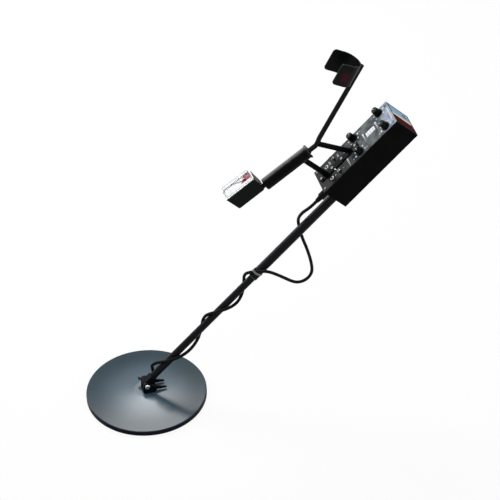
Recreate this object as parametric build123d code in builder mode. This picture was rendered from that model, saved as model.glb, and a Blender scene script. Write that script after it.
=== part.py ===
from build123d import *
import os
from itertools import combinations
from math import acos, atan2, cos, pi, radians, sin, tan

# Metal detector, standing as if swept: the coil lies flat and the shaft leans back from it.
# Millimetres. Origin at the centre of the coil's flat underside, +Z up, +X from coil to operator.

os.makedirs("parts", exist_ok=True)

# Clearances
fit_gap = 0.1  # between pieces that are pushed or screwed together
run_gap = 0.3  # between pieces that move past each other

# Search coil
coil_diameter = 300.0
coil_rim_height = 12.5
coil_crown = 5.5  # rise of the cone from rim to yoke seat
coil_wall = 2.5
coil_rim_round = 2.4
coil_base_thickness = 3.0
yoke_seat_radius = 30.0
winding_width = 9.0
winding_height = 5.0
winding_round = 1.6
winding_room = 1.5
receive_winding_radius = 78.0
gland_place = (27.0, 35.0)
gland_flange_radius = 8.5
gland_spigot_radius = 5.0
gland_flange_height = 3.5
gland_nose_height = 7.5
gland_nose_radius = 6.5
gland_top_radius = 5.2

# Yoke and pivot
pivot_height = 36.5
yoke_foot_front = 11.0
yoke_foot_rear = 24.0
yoke_foot_width = 38.0
yoke_foot_corner = 8.0
yoke_foot_thickness = 3.0
ear_gap = 20.0
ear_thickness = 4.0
ear_radius = 9.5
ear_front = 10.0
ear_rear = 22.0
fin_reach = 49.0
fin_tip_height = 3.0
yoke_screw_rows = (-5.0, 15.0)
yoke_screw_across = 5.0
yoke_screw_radius = 1.9
yoke_screw_head_radius = 3.4
yoke_screw_head_height = 1.6  # sunk into the foot
bolt_radius = 4.0
bolt_head_radius = 6.5
bolt_head_height = 4.5
bolt_head_round = 2.2
bolt_tail = 3.0
wing_hub_radius = 6.5
wing_hub_length = 8.0
wing_reach = 14.5
wing_rise = 13.0
wing_thickness = 3.0
tongue_thickness = 17.0
tongue_radius = 9.0
tongue_length = 26.0
tip_collar_length = 6.0
tip_plug_length = 34.0
washer_radius = 9.0

# Shaft
shaft_angle = 44.0  # above the ground
lower_tube_diameter = 18.0
lower_tube_wall = 1.2
lower_tube_lap = 125.0  # how far it runs into the upper tube
upper_tube_diameter = 22.5
upper_tube_wall = 1.2
upper_tube_foot = 395.0
upper_tube_lap = 74.0  # how far it runs into the case
bush_length = 32.0
bush_lip = 2.0
lock_plug_length = 30.0
lock_head_length = 3.0
lock_stem_radius = 4.5
lock_stem_length = 22.0
lock_collet_length = 19.0
lock_slit = 2.0
tie_width = 5.0
tie_thickness = 1.0

# Control box, measured along, across and above the shaft's axis, with rooms from the case's front
case_front = 690.0
case_length = 248.0
case_width = 80.5
case_floor = -16.8
case_wall = 2.0
case_corner = 3.0
end_plate_thickness = 2.5
panel_top = 62.2
panel_thickness = 2.0
corner_block = 11.0
panel_screw_radius = 1.6
panel_screw_head_radius = 3.2
panel_screw_head_height = 1.6
saddle_rooms = (22.0, 60.0)
saddle_length = 16.0
saddle_width = 40.0
saddle_wall = 4.0
speaker_radius = 20.0
speaker_flange = 2.0
speaker_cone_height = 7.0
speaker_magnet_radius = 10.0
speaker_magnet_height = 6.0
speaker_hole_radius = 2.0
speaker_hole_ring_radius = 9.0
speaker_hole_count = 6
battery_rear_room = 24.0  # from the rear plate to the battery holder
cell_diameter = 14.5
cell_length = 50.5
cell_count = 5  # in each of two layers
cell_spacing = 15.2
holder_wall = 2.0
board_room = 43.0
board_rear_room = 10.5  # from the board to the rear plate
board_width = 66.0
board_thickness = 1.6
board_drop = 22.0  # its upper face below the panel's seat
spacer_radius = 3.0
spacer_inset = 5.0
chip_height = 4.0
chip_places = (
    (-52.0, 8.0, 24.0, 9.0),
    (-14.0, -14.0, 16.0, 8.0),
    (-14.0, 14.0, 16.0, 8.0),
    (40.0, -6.0, 20.0, 8.0),
)
capacitor_radius = 5.0
capacitor_height = 9.0
capacitor_places = ((14.0, 4.0), (64.0, 14.0))
coil_socket_across = -12.0
coil_socket_above = 37.0
coil_socket_radius = 7.0
coil_socket_flange_radius = 11.0
coil_socket_flange = 3.0
coil_socket_nose = 9.0
coil_socket_depth = 16.0
plug_shell_radius = 9.5
plug_shell_length = 20.0
boot_start_radius = 7.0
boot_length = 15.0
boot_end_radius = 5.2
headphone_across = 20.0
headphone_above = 6.0
headphone_bore_radius = 3.2
headphone_bush_radius = 5.0
headphone_ring_radius = 6.5
headphone_ring_length = 2.5
headphone_body = 13.0
headphone_depth = 18.0
headphone_floor = 2.0

# Panel controls
knob_room = 131.0
knob_rear_room = 30.0  # from the second row to the case's rear
knob_across = 26.5
knob_radius = 11.0
knob_skirt_height = 2.6
knob_body_radius = 9.2
knob_top_radius = 8.2
knob_height = 18.0
knob_edge = 1.0
knob_flutes = 14
knob_flute_radius = 1.1
knob_recess_depth = 5.0
spindle_radius = 2.0
pot_radius = 8.5
pot_depth = 9.0
pot_floor = 2.0
pot_bush_radius = 3.5
pot_bush_height = 4.0
pot_nut_radius = 5.6
pot_nut_height = 2.2
switch_room = 62.0
switch_across = 24.0
switch_body = (13.0, 8.0, 11.0)
switch_bush_radius = 3.6
switch_bush_bore = 2.6
switch_bush_height = 5.0
switch_lean = 12.0
lever_pivot_above = 1.0
lever_root = 2.0
lever_length = 15.0
lever_root_radius = 1.2
lever_tip_radius = 2.1
lever_tip_round = 1.5
lamp_room = 36.0
lamp_across = 22.0
lamp_radius = 2.6
lamp_flange_radius = 3.6
lamp_height = 3.4
lamp_round = 2.0

# Handle
strap_room = 6.0
strap_length = 130.0
strap_width = 16.0
strap_thickness = 3.0
strap_corner = 5.0
strap_screw_rooms = (13.0, 50.0, 82.0, 128.0)
strap_screw_radius = 2.0
strap_screw_head_radius = 3.6
strap_screw_head_height = 2.4
strap_nut_radius = 4.0
strap_nut_height = 3.2
front_post_room = 28.0
front_post_diameter = 13.5
rear_post_room = 110.0
rear_post_top_room = 80.0
rear_post_diameter = 13.0
grip_ahead = 22.0  # the grip's origin, on the tube's straight front run, ahead of the case's front
grip_above = 165.0
grip_tilt = 9.5  # the run falls this much towards the box
handle_tube_diameter = 12.0
handle_tube_wall = 1.5
handle_front_reach = 130.0
handle_rear_reach = 99.0
neck_bend_radius = 20.0
elbow_along = 20.0  # from the neck to the elbow
elbow_above = 9.0
elbow_bend_radius = 40.0
arm_angle = 17.0  # above the shaft's direction
arm_length = 213.0
end_cap_thickness = 2.5
end_cap_spigot = 8.0
grip_diameter = 31.0
grip_meter_gap = 4.55
grip_rear = 76.0
grip_end_round = 1.5
grip_flange_diameter = 36.0
grip_flange_thickness = 4.0
grip_slot_room = 0.5
cuff_start = 161.0
cuff_length = 57.0
cuff_radius = 32.5
cuff_wing_height = 28.0
cuff_thickness = 3.0
cuff_corner = 7.5
rivet_places = (174.0, 202.0)
rivet_radius = 2.5
rivet_head_radius = 5.0
rivet_head_height = 1.8

# Meter, measured from its middle along the grip's axis and from that axis upward
meter_end_room = 27.2  # from the tube's front end to the meter's middle
meter_length = 84.5
meter_width = 39.0
meter_lift = 5.0
meter_height = 45.0
meter_front_lean = 7.0  # the front face runs back this much from rim to floor
meter_wall = 2.0
meter_floor_thickness = 3.0
meter_corner = 5.0
meter_upright_share = 0.9  # an edge that points upward by more than this is an upright one
meter_cover_height = 12.0
meter_cover_inset = 2.5
meter_cover_corner = 8.0
meter_cover_wall = 1.5
meter_cover_round = 6.5
dial_drop = 1.6  # the dial's face below the housing's rim
dial_thickness = 1.5
movement_radius = 14.0
needle_pivot = 22.0
needle_length = 42.0
needle_swing = 44.0
needle_width = 1.4
needle_tip_width = 0.6
needle_thickness = 0.8
needle_lift = 0.8
needle_hub_radius = 3.2
needle_pin_radius = 1.0
needle_pin_length = 8.0
meter_strap_places = (-17.0, 17.0)
meter_strap_width = 11.0
meter_strap_thickness = 1.6
meter_strap_reach = 16.0
meter_screw_across = 11.6
meter_screw_radius = 1.6
meter_screw_head_radius = 3.0
meter_screw_head_height = 2.0

# Cable: corners of its route, in the order coil, shaft, box.
# The tail is given in X, Y, Z. The wrap is given by share of the way from pivot to upper tube,
# degrees round the shaft from its upper far side and distance out. The loop is given by share of
# the way from the upper tube's foot to the plug, across and above the shaft's axis.
cable_diameter = 8.0
cable_bend_share = 0.45  # of the shorter run beside a corner that its bend takes up
tail_route = ((27.0, 35.0, 45.0), (22.0, 25.0, 68.0), (31.0, 6.0, 92.0))
wrap_zero = 51.2
wrap_route = (
    (0.224, 90.0, 17.3),
    (0.320, 165.0, 18.5),
    (0.420, 200.0, 18.5),
    (0.501, 262.0, 17.0),
    (0.557, 322.0, 16.2),
    (0.613, 382.0, 16.2),
    (0.684, 446.0, 16.2),
    (0.754, 505.0, 17.0),
    (0.815, 550.0, 18.4),
    (0.876, 606.0, 17.3),
    (0.927, 664.0, 16.8),
    (0.962, 713.0, 18.7),
    (1.005, 756.0, 20.3),
)
loop_route = (
    (0.124, -18.8, 7.8),
    (0.162, -22.8, -6.5),
    (0.173, -19.8, -30.0),
    (0.179, -16.0, -60.0),
    (0.187, -13.5, -89.5),
    (0.213, -12.0, -105.3),
    (0.267, -10.8, -115.5),
    (0.334, -10.2, -116.0),
    (0.392, -10.0, -107.5),
    (0.471, -11.0, -80.0),
    (0.549, -9.0, -46.0),
    (0.588, 5.0, -26.0),
    (0.638, 20.0, -9.0),
    (0.705, 18.0, 15.0),
    (0.806, -1.0, 35.0),
    (0.915, -12.0, 37.0),
)


def spot(frame, along, across, above):
    return frame.from_local_coords(Vector(along, across, above))


def deck(frame, above, along=0, across=0):
    return Plane(spot(frame, along, across, above), x_dir=frame.x_dir, z_dir=frame.z_dir)


def section(frame, along, across=0, above=0):
    return Plane(spot(frame, along, across, above), x_dir=frame.y_dir, z_dir=frame.x_dir)


def flank(frame, along=0, across=0, above=0):
    return Plane(spot(frame, along, across, above), x_dir=frame.x_dir, z_dir=-frame.y_dir)


def turned(frame, origin, angle):
    along = frame.x_dir * cos(radians(angle)) + frame.z_dir * sin(radians(angle))
    above = frame.z_dir * cos(radians(angle)) - frame.x_dir * sin(radians(angle))
    return Plane(origin, x_dir=along, z_dir=above)


def round_bar(frame, start, end, radius, bore=0):
    with BuildPart() as bar:
        with BuildSketch(section(frame, start)):
            Circle(radius)
            if bore:
                Circle(bore, mode=Mode.SUBTRACT)
        extrude(amount=end - start)
    return bar.part


def save(part, name):
    part.label = name
    export_step(part, f"parts/{name}.step")


ground = Plane.XY
shaft = turned(ground, Vector(0, 0, pivot_height), shaft_angle)
grip_along = case_front - grip_ahead
grip = turned(shaft, spot(shaft, grip_along, 0, grip_above), -grip_tilt)
neck = Plane(spot(grip, handle_rear_reach, 0, 0), x_dir=shaft.x_dir, z_dir=shaft.z_dir)
arm = turned(shaft, spot(neck, elbow_along, 0, elbow_above), arm_angle)

above_shaft = Axis(shaft.origin, shaft.z_dir)
above_grip = Axis(grip.origin, grip.z_dir)

coil_radius = coil_diameter / 2
inside_radius = coil_radius - coil_wall
seat_height = coil_rim_height + coil_crown
foot_top = seat_height + yoke_foot_thickness
coil_slope = coil_crown / (coil_radius - yoke_seat_radius)
lower_radius = lower_tube_diameter / 2
lower_bore = lower_radius - lower_tube_wall
upper_radius = upper_tube_diameter / 2
upper_bore = upper_radius - upper_tube_wall
lower_tube_foot = tongue_length + tip_collar_length
lower_tube_top = upper_tube_foot + lower_tube_lap
upper_tube_top = case_front + upper_tube_lap
panel_seat = panel_top - panel_thickness
case_rear = case_front + case_length
case_middle = case_front + case_length / 2
rear_plate_start = case_rear - end_plate_thickness
floor_top = case_floor + case_wall
case_inside = case_width - 2 * case_wall
knob_rows = (case_front + knob_room, case_rear - knob_rear_room)
cell_pack_length = (cell_count - 1) * cell_spacing + cell_diameter
holder_length = cell_pack_length + 2 * (holder_wall + fit_gap)
battery_place = rear_plate_start - battery_rear_room - holder_length / 2
speaker_place = (upper_tube_top + battery_place - holder_length / 2) / 2
board_front = case_front + board_room
board_length = rear_plate_start - board_rear_room - board_front
board_place = board_front + board_length / 2
front_post_foot = case_front + front_post_room
handle_radius = handle_tube_diameter / 2
meter_place = meter_end_room - handle_front_reach
grip_front = meter_place + meter_length / 2 + grip_meter_gap
cable_radius = cable_diameter / 2
bolt_hole_radius = bolt_radius + fit_gap
yoke_screw_hole = yoke_screw_radius + fit_gap
yoke_screw_places = [(along, side * yoke_screw_across) for along in yoke_screw_rows for side in (1, -1)]

# Search coil: a hollow cone-topped shell closed by a flat plate, with two ring windings
gland_distance = Vector(*gland_place).length
gland_seat = seat_height - coil_slope * (gland_distance - gland_flange_radius - yoke_seat_radius)

with BuildPart() as coil_top_shell:
    with BuildSketch(Plane.XZ):
        with BuildLine():
            Polyline(
                (0, seat_height),
                (yoke_seat_radius, seat_height),
                (coil_radius, coil_rim_height),
                (coil_radius, 0),
                (inside_radius, 0),
                (inside_radius, coil_rim_height - coil_wall),
                (yoke_seat_radius, seat_height - coil_wall),
                (0, seat_height - coil_wall),
                close=True,
            )
        make_face()
    revolve(axis=Axis.Z)
    rim_edges = coil_top_shell.edges().filter_by(GeomType.CIRCLE).group_by(SortBy.RADIUS)[-1]
    fillet(rim_edges.sort_by(Axis.Z)[-1], coil_rim_round)
    with BuildSketch(Plane.XY.offset(coil_base_thickness)):
        with Locations(gland_place):
            Circle(gland_spigot_radius + fit_gap)
        with Locations(*yoke_screw_places):
            Circle(yoke_screw_hole)
    extrude(amount=seat_height, mode=Mode.SUBTRACT)
save(coil_top_shell.part, "coil_top_shell")

with BuildPart() as coil_bottom_plate:
    with BuildSketch(Plane.XY):
        Circle(inside_radius - fit_gap)
    extrude(amount=coil_base_thickness)
save(coil_bottom_plate.part, "coil_bottom_plate")

transmit_radius = inside_radius - winding_room - winding_width / 2
for name, radius in (("transmit_winding", transmit_radius), ("receive_winding", receive_winding_radius)):
    with BuildPart() as winding:
        with BuildSketch(Plane.XY.offset(coil_base_thickness)):
            Circle(radius + winding_width / 2)
            Circle(radius - winding_width / 2, mode=Mode.SUBTRACT)
        extrude(amount=winding_height)
        fillet(winding.edges().filter_by(GeomType.CIRCLE).group_by(Axis.Z)[-1], winding_round)
    save(winding.part, name)

# Cable gland: a spigot through the shell, a hexagonal flange and a tapering nose
gland_nose_foot = gland_seat + gland_flange_height
gland_top = gland_nose_foot + gland_nose_height
with BuildPart() as cable_gland:
    with BuildSketch(Plane.XY.offset(gland_seat - coil_wall)):
        with Locations(gland_place):
            Circle(gland_spigot_radius)
    extrude(amount=coil_wall)
    with BuildSketch(Plane.XY.offset(gland_seat)):
        with Locations(gland_place):
            RegularPolygon(gland_flange_radius, 6)
    extrude(amount=gland_flange_height)
    with BuildSketch(Plane.XY.offset(gland_nose_foot)):
        with Locations(gland_place):
            Circle(gland_nose_radius)
    with BuildSketch(Plane.XY.offset(gland_top)):
        with Locations(gland_place):
            Circle(gland_top_radius)
    loft()
save(cable_gland.part, "cable_gland")

# Yoke: oblong foot, two ears whose backs run out rearward as fins, screws sunk in between the ears
yoke_foot_length = yoke_foot_front + yoke_foot_rear
screw_head_foot = foot_top - yoke_screw_head_height
with BuildPart() as coil_yoke:
    with BuildSketch(Plane.XY.offset(seat_height)):
        with Locations(((yoke_foot_rear - yoke_foot_front) / 2, 0)):
            RectangleRounded(yoke_foot_length, yoke_foot_width, yoke_foot_corner)
    extrude(amount=yoke_foot_thickness)
    with BuildSketch(Plane.XZ.offset(ear_gap / 2)):
        with BuildLine():
            Polyline(
                (-ear_front, seat_height),
                (-ear_radius, pivot_height),
                (ear_radius, pivot_height),
                (fin_reach, foot_top + fin_tip_height),
                (fin_reach, foot_top),
                (ear_rear, foot_top),
                (ear_rear, seat_height),
                close=True,
            )
        make_face()
        with Locations((0, pivot_height)):
            Circle(ear_radius)
            Circle(bolt_hole_radius, mode=Mode.SUBTRACT)
    near_ear = extrude(amount=ear_thickness)
    mirror(near_ear, about=Plane.XZ)
    with BuildSketch(Plane.XY.offset(seat_height)):
        with Locations(*yoke_screw_places):
            Circle(yoke_screw_hole)
    extrude(amount=yoke_foot_thickness, mode=Mode.SUBTRACT)
    for along, across in yoke_screw_places:
        with BuildSketch(deck(ground, screw_head_foot, along, across)):
            Circle(yoke_screw_hole)
        with BuildSketch(deck(ground, foot_top, along, across)):
            Circle(yoke_screw_head_radius + fit_gap)
        loft(mode=Mode.SUBTRACT)
save(coil_yoke.part, "coil_yoke")

with BuildPart() as yoke_screws:
    with BuildSketch(Plane.XY.offset(seat_height - coil_wall)):
        with Locations(*yoke_screw_places):
            Circle(yoke_screw_radius)
    extrude(amount=screw_head_foot - seat_height + coil_wall)
    for along, across in yoke_screw_places:
        with BuildSketch(deck(ground, screw_head_foot, along, across)):
            Circle(yoke_screw_radius)
        with BuildSketch(deck(ground, foot_top, along, across)):
            Circle(yoke_screw_head_radius)
        loft()
save(yoke_screws.part, "yoke_screws")

# Pivot bolt along Y, head on the near ear, wing nut on the far one
ear_outside = ear_gap / 2 + ear_thickness
nut_start = ear_outside + fit_gap
pivot_line = Plane((0, 0, pivot_height), x_dir=(1, 0, 0), z_dir=(0, 1, 0))

with BuildPart() as pivot_bolt:
    with BuildSketch(pivot_line.offset(-ear_outside)):
        Circle(bolt_radius)
    extrude(amount=ear_outside + nut_start + wing_hub_length + bolt_tail)
    with BuildSketch(pivot_line.offset(-ear_outside)):
        Circle(bolt_head_radius)
    extrude(amount=-bolt_head_height)
    fillet(pivot_bolt.edges().filter_by(GeomType.CIRCLE).sort_by(Axis.Y)[0], bolt_head_round)
save(pivot_bolt.part, "pivot_bolt")

with BuildPart() as wing_nut:
    with BuildSketch(pivot_line.offset(nut_start)):
        Circle(wing_hub_radius)
    extrude(amount=wing_hub_length)
    with BuildSketch(Plane((0, nut_start, pivot_height), x_dir=(1, 0, 0), z_dir=(0, 0, 1))):
        with BuildLine():
            Polyline(
                (0, 0),
                (wing_hub_radius, 0),
                (wing_reach, wing_rise - wing_hub_length),
                (wing_reach, wing_rise),
                (wing_hub_radius, wing_hub_length),
                (0, wing_hub_length),
                close=True,
            )
        make_face()
    right_wing = extrude(amount=wing_thickness / 2, both=True)
    mirror(right_wing, about=Plane.YZ)
    with BuildSketch(pivot_line.offset(nut_start)):
        Circle(bolt_hole_radius)
    extrude(amount=wing_rise, mode=Mode.SUBTRACT)
save(wing_nut.part, "wing_nut")

# Tip of the lower tube: a tongue with an eye, a collar, and a plug inside the tube
with BuildPart() as shaft_tip:
    with BuildSketch(flank(shaft, across=tongue_thickness / 2)):
        Circle(tongue_radius)
        with Locations((tongue_length / 2, 0)):
            Rectangle(tongue_length, 2 * tongue_radius)
    extrude(amount=tongue_thickness)
    with BuildSketch(section(shaft, tongue_length)):
        Circle(lower_radius)
    extrude(amount=tip_collar_length)
    with BuildSketch(section(shaft, lower_tube_foot)):
        Circle(lower_bore - fit_gap)
    extrude(amount=tip_plug_length)
    with BuildSketch(flank(shaft, across=tongue_thickness / 2)):
        Circle(bolt_hole_radius)
    extrude(amount=tongue_thickness, mode=Mode.SUBTRACT)
save(shaft_tip.part, "shaft_tip")

washer_start = tongue_thickness / 2
washer_thickness = ear_gap / 2 - washer_start - run_gap
with BuildPart() as friction_washers:
    with BuildSketch(pivot_line.offset(washer_start)):
        Circle(washer_radius)
        Circle(bolt_hole_radius, mode=Mode.SUBTRACT)
    far_washer = extrude(amount=washer_thickness)
    mirror(far_washer, about=Plane.XZ)
save(friction_washers.part, "friction_washers")

# Telescoping shaft: the lower tube slides in the upper one and is held by a twist lock inside it
save(round_bar(shaft, lower_tube_foot, lower_tube_top, lower_radius, lower_bore), "lower_tube")
save(round_bar(shaft, upper_tube_foot, upper_tube_top, upper_radius, upper_bore), "upper_tube")

with BuildPart() as tube_bush:
    with BuildSketch(section(shaft, upper_tube_foot)):
        Circle(upper_bore - fit_gap)
        Circle(lower_radius + run_gap, mode=Mode.SUBTRACT)
    extrude(amount=bush_length)
    with BuildSketch(section(shaft, upper_tube_foot)):
        Circle(upper_radius)
        Circle(lower_radius + run_gap, mode=Mode.SUBTRACT)
    extrude(amount=-bush_lip)
save(tube_bush.part, "tube_bush")

lock_head_end = lower_tube_top + lock_head_length
with BuildPart() as lock_plug:
    with BuildSketch(section(shaft, lower_tube_top)):
        Circle(lower_bore - fit_gap)
    extrude(amount=-lock_plug_length)
    with BuildSketch(section(shaft, lower_tube_top)):
        Circle(lower_radius)
    extrude(amount=lock_head_length)
    with BuildSketch(section(shaft, lock_head_end)):
        Circle(lock_stem_radius)
    extrude(amount=lock_stem_length)
save(lock_plug.part, "lock_plug")

with BuildPart() as lock_collet:
    with BuildSketch(section(shaft, lock_head_end)):
        Circle(upper_bore - run_gap)
        Circle(lock_stem_radius + fit_gap, mode=Mode.SUBTRACT)
        with Locations((upper_bore / 2, 0)):
            Rectangle(upper_bore, lock_slit, mode=Mode.SUBTRACT)
    extrude(amount=lock_collet_length)
save(lock_collet.part, "lock_collet")

# Control box: a folded channel for floor and sides, two end plates, and the panel as its lid
with BuildPart() as case_body:
    with BuildSketch(section(shaft, case_front)) as channel:
        with Locations((0, (case_floor + panel_seat) / 2)):
            Rectangle(case_width, panel_seat - case_floor)
        fillet(channel.vertices().group_by(Axis.Y)[0], case_corner)
        with Locations((0, (floor_top + panel_seat) / 2)):
            Rectangle(case_inside, panel_seat - floor_top, mode=Mode.SUBTRACT)
    extrude(amount=case_length)
    with BuildSketch(deck(shaft, case_floor, along=speaker_place)):
        Circle(speaker_hole_radius)
        with PolarLocations(speaker_hole_ring_radius, speaker_hole_count):
            Circle(speaker_hole_radius)
    extrude(amount=case_wall, mode=Mode.SUBTRACT)
save(case_body.part, "case_body")

end_height = panel_seat - floor_top
with BuildPart() as front_plate:
    with BuildSketch(section(shaft, case_front)):
        with Locations((0, (floor_top + panel_seat) / 2)):
            Rectangle(case_inside - 2 * fit_gap, end_height)
        Circle(upper_radius + fit_gap, mode=Mode.SUBTRACT)
        with Locations((coil_socket_across, coil_socket_above)):
            Circle(coil_socket_radius + fit_gap, mode=Mode.SUBTRACT)
    extrude(amount=end_plate_thickness)
save(front_plate.part, "front_plate")

with BuildPart() as rear_plate:
    with BuildSketch(section(shaft, rear_plate_start)):
        with Locations((0, (floor_top + panel_seat) / 2)):
            Rectangle(case_inside - 2 * fit_gap, end_height)
        with Locations((headphone_across, headphone_above)):
            Circle(headphone_bush_radius + fit_gap, mode=Mode.SUBTRACT)
    extrude(amount=end_plate_thickness)
save(rear_plate.part, "rear_plate")

knob_places = [(along, side * knob_across) for along in knob_rows for side in (1, -1)]
switch_places = [(case_front + switch_room, side * switch_across) for side in (1, -1)]
lamp_places = [(case_front + lamp_room, side * lamp_across) for side in (1, -1)]
block_along = end_plate_thickness + fit_gap + corner_block / 2
block_across = case_inside / 2 - fit_gap - corner_block / 2
block_places = [
    (along, side * block_across)
    for along in (case_front + block_along, case_rear - block_along)
    for side in (1, -1)
]
strap_holes = [(case_front + room, 0) for room in strap_screw_rooms]

with BuildPart() as control_panel:
    with BuildSketch(deck(shaft, panel_seat)):
        with Locations((case_middle, 0)):
            Rectangle(case_length, case_width)
        with Locations(*knob_places):
            Circle(pot_bush_radius + fit_gap, mode=Mode.SUBTRACT)
        with Locations(*switch_places):
            Circle(switch_bush_radius + fit_gap, mode=Mode.SUBTRACT)
        with Locations(*lamp_places):
            Circle(lamp_radius + fit_gap, mode=Mode.SUBTRACT)
        with Locations(*block_places):
            Circle(panel_screw_radius + fit_gap, mode=Mode.SUBTRACT)
        with Locations(*strap_holes):
            Circle(strap_screw_radius + fit_gap, mode=Mode.SUBTRACT)
    extrude(amount=panel_thickness)
save(control_panel.part, "control_panel")

with BuildPart() as panel_blocks:
    with BuildSketch(deck(shaft, panel_seat)):
        with Locations(*block_places):
            Rectangle(corner_block, corner_block)
            Circle(panel_screw_radius + fit_gap, mode=Mode.SUBTRACT)
    extrude(amount=-corner_block)
save(panel_blocks.part, "panel_blocks")

with BuildPart() as panel_screws:
    with BuildSketch(deck(shaft, panel_top)):
        with Locations(*block_places):
            Circle(panel_screw_head_radius)
    extrude(amount=panel_screw_head_height)
    with BuildSketch(deck(shaft, panel_top)):
        with Locations(*block_places):
            Circle(panel_screw_radius)
    extrude(amount=-(panel_thickness + corner_block))
save(panel_screws.part, "panel_screws")

# Inside the box: tube saddles, speaker, batteries, circuit board hung from the panel
saddle_top = upper_radius + saddle_wall
with BuildPart() as tube_saddles:
    for room in saddle_rooms:
        with BuildSketch(section(shaft, case_front + room - saddle_length / 2)):
            with Locations((0, (floor_top + saddle_top) / 2)):
                Rectangle(saddle_width, saddle_top - floor_top)
            Circle(upper_radius + fit_gap, mode=Mode.SUBTRACT)
        extrude(amount=saddle_length)
save(tube_saddles.part, "tube_saddles")

cone_foot = floor_top + speaker_flange
with BuildPart() as speaker:
    with BuildSketch(deck(shaft, floor_top, along=speaker_place)):
        Circle(speaker_radius)
    extrude(amount=speaker_flange)
    with BuildSketch(deck(shaft, cone_foot, along=speaker_place)):
        Circle(speaker_radius - speaker_flange)
    with BuildSketch(deck(shaft, cone_foot + speaker_cone_height, along=speaker_place)):
        Circle(speaker_magnet_radius)
    loft()
    with BuildSketch(deck(shaft, cone_foot + speaker_cone_height, along=speaker_place)):
        Circle(speaker_magnet_radius)
    extrude(amount=speaker_magnet_height)
save(speaker.part, "speaker")

holder_width = cell_length + 2 * (holder_wall + fit_gap)
holder_floor = floor_top + holder_wall
with BuildPart() as battery_holder:
    with BuildSketch(deck(shaft, floor_top, along=battery_place)):
        Rectangle(holder_length, holder_width)
    extrude(amount=holder_wall + cell_diameter)
    with BuildSketch(deck(shaft, holder_floor, along=battery_place)):
        Rectangle(holder_length - 2 * holder_wall, holder_width - 2 * holder_wall)
    extrude(amount=cell_diameter, mode=Mode.SUBTRACT)
save(battery_holder.part, "battery_holder")

with BuildPart() as battery_cells:
    for layer in (0, 1):
        cell_above = holder_floor + fit_gap + cell_diameter / 2 + layer * (cell_diameter + fit_gap)
        with BuildSketch(flank(shaft, battery_place, -cell_length / 2, cell_above)):
            with GridLocations(cell_spacing, cell_spacing, cell_count, 1):
                Circle(cell_diameter / 2)
        extrude(amount=-cell_length)
save(battery_cells.part, "battery_cells")

board_top = panel_seat - board_drop
spacer_spread = (board_length - 2 * spacer_inset, board_width - 2 * spacer_inset)
with BuildPart() as circuit_board:
    with BuildSketch(deck(shaft, board_top, along=board_place)):
        Rectangle(board_length, board_width)
    extrude(amount=-board_thickness)
save(circuit_board.part, "circuit_board")

with BuildPart() as board_spacers:
    with BuildSketch(deck(shaft, board_top, along=board_place)):
        with GridLocations(*spacer_spread, 2, 2):
            RegularPolygon(spacer_radius, 6)
    extrude(amount=board_drop)
save(board_spacers.part, "board_spacers")

with BuildPart() as board_parts:
    with BuildSketch(deck(shaft, board_top, along=board_place)):
        for along, across, length, width in chip_places:
            with Locations((along, across)):
                Rectangle(length, width)
    extrude(amount=chip_height)
    with BuildSketch(deck(shaft, board_top, along=board_place)):
        with Locations(*capacitor_places):
            Circle(capacitor_radius)
    extrude(amount=capacitor_height)
save(board_parts.part, "board_parts")

# Coil socket on the front plate, and the plug with its boot screwed on it
socket_plane = section(shaft, case_front, coil_socket_across, coil_socket_above)
plug_start = coil_socket_flange + fit_gap
with BuildPart() as coil_socket:
    with BuildSketch(socket_plane):
        Circle(coil_socket_radius)
    extrude(amount=coil_socket_depth)
    with BuildSketch(socket_plane):
        Circle(coil_socket_flange_radius)
    extrude(amount=-coil_socket_flange)
    with BuildSketch(socket_plane.offset(-coil_socket_flange)):
        Circle(coil_socket_radius)
    extrude(amount=-coil_socket_nose)
save(coil_socket.part, "coil_socket")

boot_start = plug_start + plug_shell_length
boot_end = boot_start + boot_length
with BuildPart() as coil_plug:
    with BuildSketch(socket_plane.offset(-plug_start)):
        Circle(plug_shell_radius)
    extrude(amount=-plug_shell_length)
    with BuildSketch(socket_plane.offset(-boot_start)):
        Circle(boot_start_radius)
    with BuildSketch(socket_plane.offset(-boot_end)):
        Circle(boot_end_radius)
    loft()
    with BuildSketch(socket_plane.offset(-plug_start)):
        Circle(coil_socket_radius + fit_gap)
    extrude(amount=-coil_socket_nose, mode=Mode.SUBTRACT)
save(coil_plug.part, "coil_plug")

# Headphone socket in the rear plate, open to the rear
jack_plane = section(shaft, rear_plate_start, headphone_across, headphone_above)
with BuildPart() as headphone_socket:
    with BuildSketch(jack_plane):
        Rectangle(headphone_body, headphone_body)
    extrude(amount=-headphone_depth)
    with BuildSketch(jack_plane):
        Circle(headphone_bush_radius)
    extrude(amount=end_plate_thickness)
    with BuildSketch(jack_plane.offset(end_plate_thickness)):
        Circle(headphone_ring_radius)
    extrude(amount=headphone_ring_length)
    with BuildSketch(jack_plane.offset(headphone_floor - headphone_depth)):
        Circle(headphone_bore_radius)
    extrude(
        amount=headphone_depth - headphone_floor + end_plate_thickness + headphone_ring_length,
        mode=Mode.SUBTRACT,
    )
save(headphone_socket.part, "headphone_socket")

# Potentiometers under the panel, with bushes and nuts above it, and a fluted knob on each
pot_low = panel_seat - pot_depth
spindle_low = pot_low + pot_floor
with BuildPart() as potentiometers:
    with BuildSketch(deck(shaft, panel_seat)):
        with Locations(*knob_places):
            Circle(pot_radius)
    extrude(amount=-pot_depth)
    with BuildSketch(deck(shaft, panel_seat)):
        with Locations(*knob_places):
            Circle(pot_bush_radius)
    extrude(amount=panel_thickness + pot_bush_height)
    with BuildSketch(deck(shaft, panel_top)):
        with Locations(*knob_places):
            RegularPolygon(pot_nut_radius, 6)
    extrude(amount=pot_nut_height)
    with BuildSketch(deck(shaft, spindle_low)):
        with Locations(*knob_places):
            Circle(spindle_radius + fit_gap)
    extrude(amount=panel_top + pot_bush_height - spindle_low, mode=Mode.SUBTRACT)
save(potentiometers.part, "potentiometers")

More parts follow.
